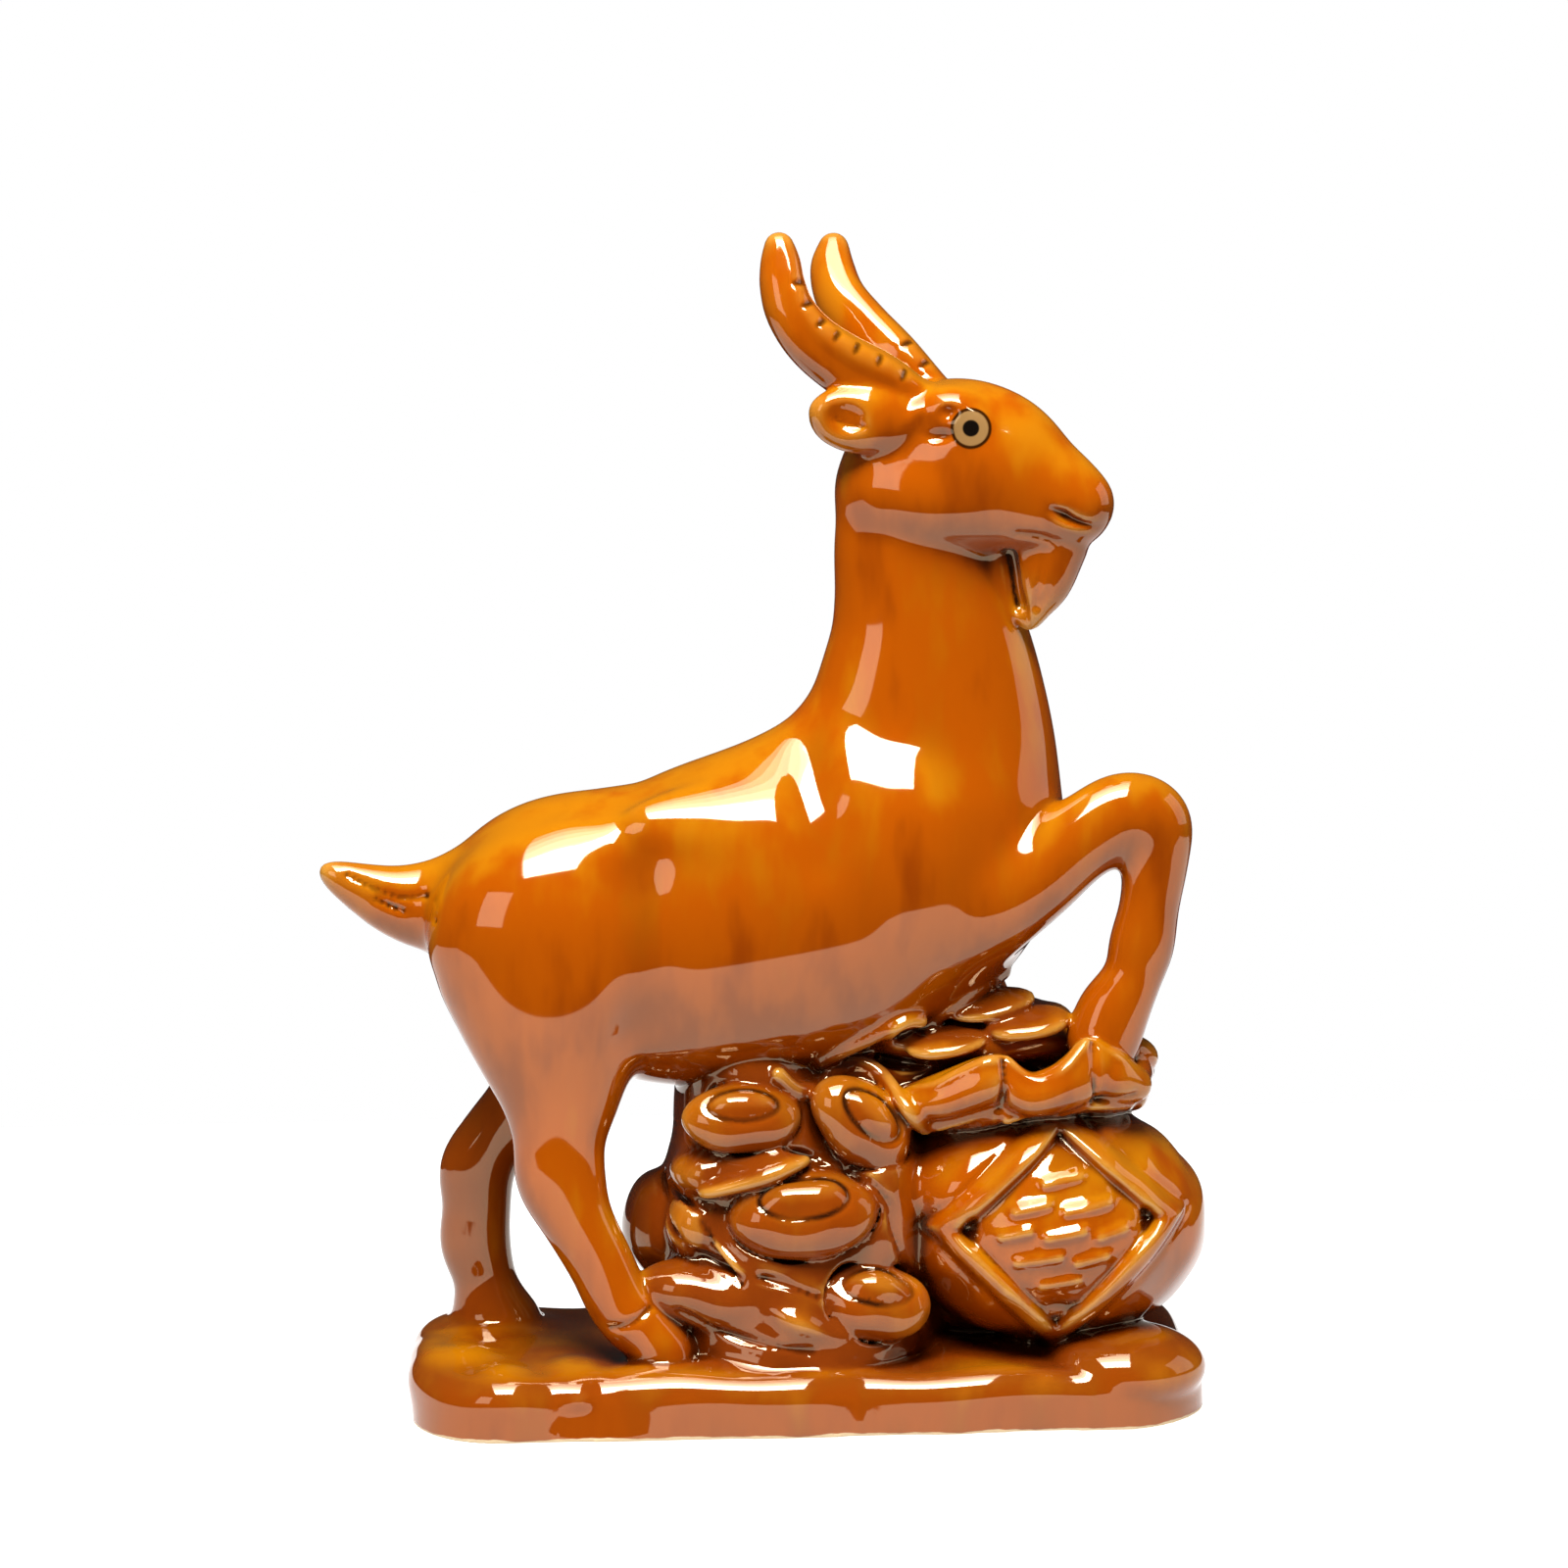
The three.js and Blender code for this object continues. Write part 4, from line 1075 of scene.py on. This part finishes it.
AMBER = "#964200"
SHED_AND_TOP_LIT_AMBER = "#A46204"
DEEP_AMBER_AND_SHADE = "#7C3000"
COAT_AND_SHADE_BROWN = "#6E2C05"
BROWN = "#4A1800"
POOLED = "#240B02"
THIN_AMBER = "#9C5608"
THIN_GOLD = "#AE762A"
BARE_CLAY = "#CDB48E"
EYE_PAINTS = {"line": (5.2, "#2E1200"), "cream": (4.35, "#86643A"), "pupil": (2.1, "#0A0604")}
PAINT_EDGE = 0.25
BARE_RIM_TOP = 1.0
BARE_RIM_FOOT = 0.6
RIM_WAVE = 2
GLAZE_IOR = 1.8
GLAZE_SHEEN = (1.0, 0.78, 0.52, 1.0)
GLAZE_ROUGHNESS = 0.05
CLAY_ROUGHNESS = 0.7
RUN_WIDTH = 12
RUN_STRETCH = 0.3
RUN_DETAIL = 3.0

glaze = bpy.data.materials.new("amber_lead_glaze")
tree = emptied(glaze)
coordinates = add(tree, "TexCoord").outputs["Object"]


def uneven(value, factor):
    """Value with the unevenness of the runs added, times a factor."""
    inputs = {0: unevenness, 1: factor, 2: value}
    return add(tree, "Math", inputs, operation="MULTIPLY_ADD").outputs[0]


def laid(colour, value, low, high, code):
    """Lays a colour over another, smoothly, where a value goes from low to high. Gives the colour that
    comes of it, and the share of the upper one."""
    inputs = {"Value": value, "From Min": low, "From Max": high}
    share = add(tree, "MapRange", inputs, interpolation_type="SMOOTHSTEP").outputs["Result"]
    inputs = {"Factor": share, 6: colour, 7: linear(code)}
    return add(tree, "Mix", inputs, data_type="RGBA").outputs[2], share


fine, broad, wide = (
    add(tree, "Attribute", attribute_name=name).outputs["Fac"] for name in CROWDING
)
running = add(tree, "Mapping", {"Vector": coordinates, "Scale": (1, 1, RUN_STRETCH)}).outputs[0]
per_metre = 1 / (RUN_WIDTH * MILLIMETRE)
runs = add(tree, "TexNoise", {"Vector": running, "Scale": per_metre, "Detail": RUN_DETAIL})
unevenness = add(tree, "Math", {0: runs.outputs["Fac"], 1: 0.5}, operation="SUBTRACT").outputs[0]
coat_and_shade_share = add(tree, "Attribute", attribute_name="coat_and_shade").outputs["Fac"]
facing = add(tree, "NewGeometry").outputs["Normal"]
upward = add(tree, "SeparateXYZ", {0: facing}).outputs["Z"]
openness = add(tree, "Math", {0: broad, 1: -1.0, 2: 0.5}, operation="MULTIPLY_ADD").outputs[0]
thinness = uneven(openness, 0.4)
# Paler on faces turned up and deeper on faces turned down: partly the glaze running off, partly painted
# light from above and painted shade beneath.
shed_and_top_light = uneven(upward, 2.4)
scored_share = add(tree, "Attribute", attribute_name="scored").outputs["Fac"]

# Layers of colour, each laid over the last where its value goes from low to high: paler where the
# skin faces up and deeper where it faces down, partly the glaze running off and gathering below and
# partly painted light from above and painted shade beneath; browner where it lies twice, and
# where painted shade falls on the far side and at the bag's foot; thinner on ridges; darker where it
# pools in dips, and in broad hollows as painted shade as well. The runs add some unevenness to most
# of these values, in their own measure.
LAYERS = [
    # Paler on faces turned up, deeper on faces turned down: glaze run in part, painted light and
    # painted shade in part.
    (shed_and_top_light, 0.1, 1.0, SHED_AND_TOP_LIT_AMBER),
    (shed_and_top_light, 0.05, -0.7, DEEP_AMBER_AND_SHADE),
    # Broad hollows under the belly and in the heap: pooled glaze in part, painted shade in part.
    (uneven(wide, 0.25), 0.44, 0.64, DEEP_AMBER_AND_SHADE),
    # Second coat on the rock and the ingots; painted shade on the far side and at the bag's foot.
    (uneven(coat_and_shade_share, 0.6), 0.1, 1.1, COAT_AND_SHADE_BROWN),
    (thinness, 0.06, 0.28, THIN_AMBER),
    (thinness, 0.22, 0.46, THIN_GOLD),
    (uneven(broad, 0.1), 0.56, 0.67, BROWN),
    # The deepest broad hollows turn brown: painted shade as well as pooled glaze.
    (uneven(wide, 0.25), 0.58, 0.76, BROWN),
    (fine, 0.55, 0.76, POOLED),
    (fine, 0.46, 0.34, THIN_GOLD),
    (scored_share, 0.15, 0.85, POOLED),
]
colour = linear(AMBER)
for layer in LAYERS:
    colour, _ = laid(colour, *layer)

# Eyes: painted under the glaze in discs laid over each other, wherever the nearer eye is close.
eyes = []
for mirror in SIDES:
    outward = head_direction(EYE_OUTWARD, mirror)
    middle = (from_poll(EYE_AT, mirror) + outward * EYE_RADII[2]) * MILLIMETRE
    away = add(tree, "VectorMath", {0: coordinates, 1: middle}, operation="DISTANCE")
    eyes.append(away.outputs["Value"])
from_eye = add(tree, "Math", dict(enumerate(eyes)), operation="MINIMUM").outputs[0]
for radius, paint in EYE_PAINTS.values():
    outer, inner = (radius + PAINT_EDGE) * MILLIMETRE, (radius - PAINT_EDGE) * MILLIMETRE
    colour, _ = laid(colour, from_eye, outer, inner, paint)
height = add(tree, "SeparateXYZ", {0: coordinates}).outputs["Z"]
wavy_height = uneven(height, RIM_WAVE * MILLIMETRE)
rim_top, rim_foot = BARE_RIM_TOP * MILLIMETRE, BARE_RIM_FOOT * MILLIMETRE
colour, bare = laid(colour, wavy_height, rim_top, rim_foot, BARE_CLAY)
roughness = add(tree, "Mix", {"Factor": bare, 2: GLAZE_ROUGHNESS, 3: CLAY_ROUGHNESS}).outputs[0]
shader = add(tree, "BsdfPrincipled", {
    "Base Color": colour,
    "IOR": GLAZE_IOR,
    "Specular Tint": GLAZE_SHEEN,
    "Roughness": roughness,
})
add(tree, "OutputMaterial", {"Surface": shader.outputs["BSDF"]})
mesh.materials.clear()
mesh.materials.append(glaze)

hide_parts("sheep_figure")
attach(figure, "root")

# Studio: a white table top that ends just below the picture, one large soft light above, a weak one
# at each side, and a dim grey room. The glaze mirrors them all. The paper glows evenly, so the ground
# is white and the belly and the base mirror a plain pale band.
TABLE_CORNERS = [(-0.9, -0.32, 0), (0.9, -0.32, 0), (0.9, 0.35, 0), (-0.9, 0.35, 0)]
PAPER_GREY = "#909090"
PAPER_GLOW = 1.0
ROOM_GLOW = 0.03
WHITE = (1, 1, 1, 1)
corners = np.array(TABLE_CORNERS) / MILLIMETRE
table = placed("table_top", mesh_of("table_top", corners, [[0, 1, 2, 3]]))
paper = bpy.data.materials.new("white_paper")
tree = emptied(paper)
shader = add(tree, "BsdfPrincipled", {
    "Base Color": linear(PAPER_GREY),
    "Roughness": 0.9,
    "Emission Color": WHITE,
    "Emission Strength": PAPER_GLOW,
})
add(tree, "OutputMaterial", {"Surface": shader.outputs["BSDF"]})
table.data.materials.append(paper)

# Behind the softbox, panels of growing depth share its front edge, so its light fades to the back.
SOFTBOX_WIDTH = 0.58
SOFTBOX_FRONT = -0.74
FALLOFF_PANELS = 5
FALLOFF_DEPTH = 0.4
FALLOFF_STEP = 0.12
FALLOFF_LIFT = 0.01
FALLOFF_RADIANCE = 3.0


def soft_light(name, at, aim, size, radiance):
    """Light panel: its power is radiance times its area times pi."""
    light = bpy.data.lights.new(name, "AREA")
    light.shape = "RECTANGLE"
    light.size, light.size_y = size
    light.energy = radiance * size[0] * size[1] * math.pi
    lamp = placed(name, light)
    lamp.location = at
    direction = Vector(aim) - Vector(at)
    lamp.rotation_euler = direction.to_track_quat("-Z", "Y").to_euler()


soft_light("overhead_softbox", (-0.11, -0.56, 1.0), (-0.1, -0.3, 0), (SOFTBOX_WIDTH, 0.36), 20.0)
for step in range(FALLOFF_PANELS):
    depth = FALLOFF_DEPTH + FALLOFF_STEP * step
    at = (-0.11, SOFTBOX_FRONT + depth / 2, 1.0 + FALLOFF_LIFT * step)
    soft_light(f"softbox_falloff_{step}", at, (-0.1, -0.2, 0), (SOFTBOX_WIDTH, depth), FALLOFF_RADIANCE)
soft_light("left_panel", (-0.85, -0.95, 0.62), (0, 0, 0.15), (0.44, 0.6), 2.4)
soft_light("right_panel", (1.3, -0.1, 0.6), (0, 0, 0.15), (0.9, 0.9), 1.2)

world = bpy.data.worlds.new("studio")
bpy.context.scene.world = world
tree = emptied(world)
room = add(tree, "Background", {"Color": WHITE, "Strength": ROOM_GLOW})
backdrop = add(tree, "Background", {"Color": WHITE, "Strength": 1.0})
seen = add(tree, "LightPath").outputs["Is Camera Ray"]
both = add(tree, "MixShader", {0: seen, 1: room.outputs[0], 2: backdrop.outputs[0]})
add(tree, "OutputWorld", {"Surface": both.outputs[0]})
bpy.context.scene.view_settings.view_transform = "Standard"

# Camera: a short telephoto view from a little above the goat's back, turned five degrees to the left.
CAMERA_AZIMUTH = math.radians(-5)
CAMERA_HEIGHT = math.radians(8)
CAMERA_DISTANCE = 1.25
CAMERA_AIM = Vector((0.005748, 0.0009, 0.159942))
LENS = 112.05
SENSOR = 36

lens = bpy.data.cameras.new("camera")
lens.lens = LENS
lens.sensor_width = SENSOR
camera = placed("camera", lens)
back = Vector((
    math.sin(CAMERA_AZIMUTH) * math.cos(CAMERA_HEIGHT),
    -math.cos(CAMERA_AZIMUTH) * math.cos(CAMERA_HEIGHT),
    math.sin(CAMERA_HEIGHT),
))
camera.location = CAMERA_AIM + back * CAMERA_DISTANCE
camera.rotation_euler = (-back).to_track_quat("-Z", "Y").to_euler()
bpy.context.scene.camera = camera
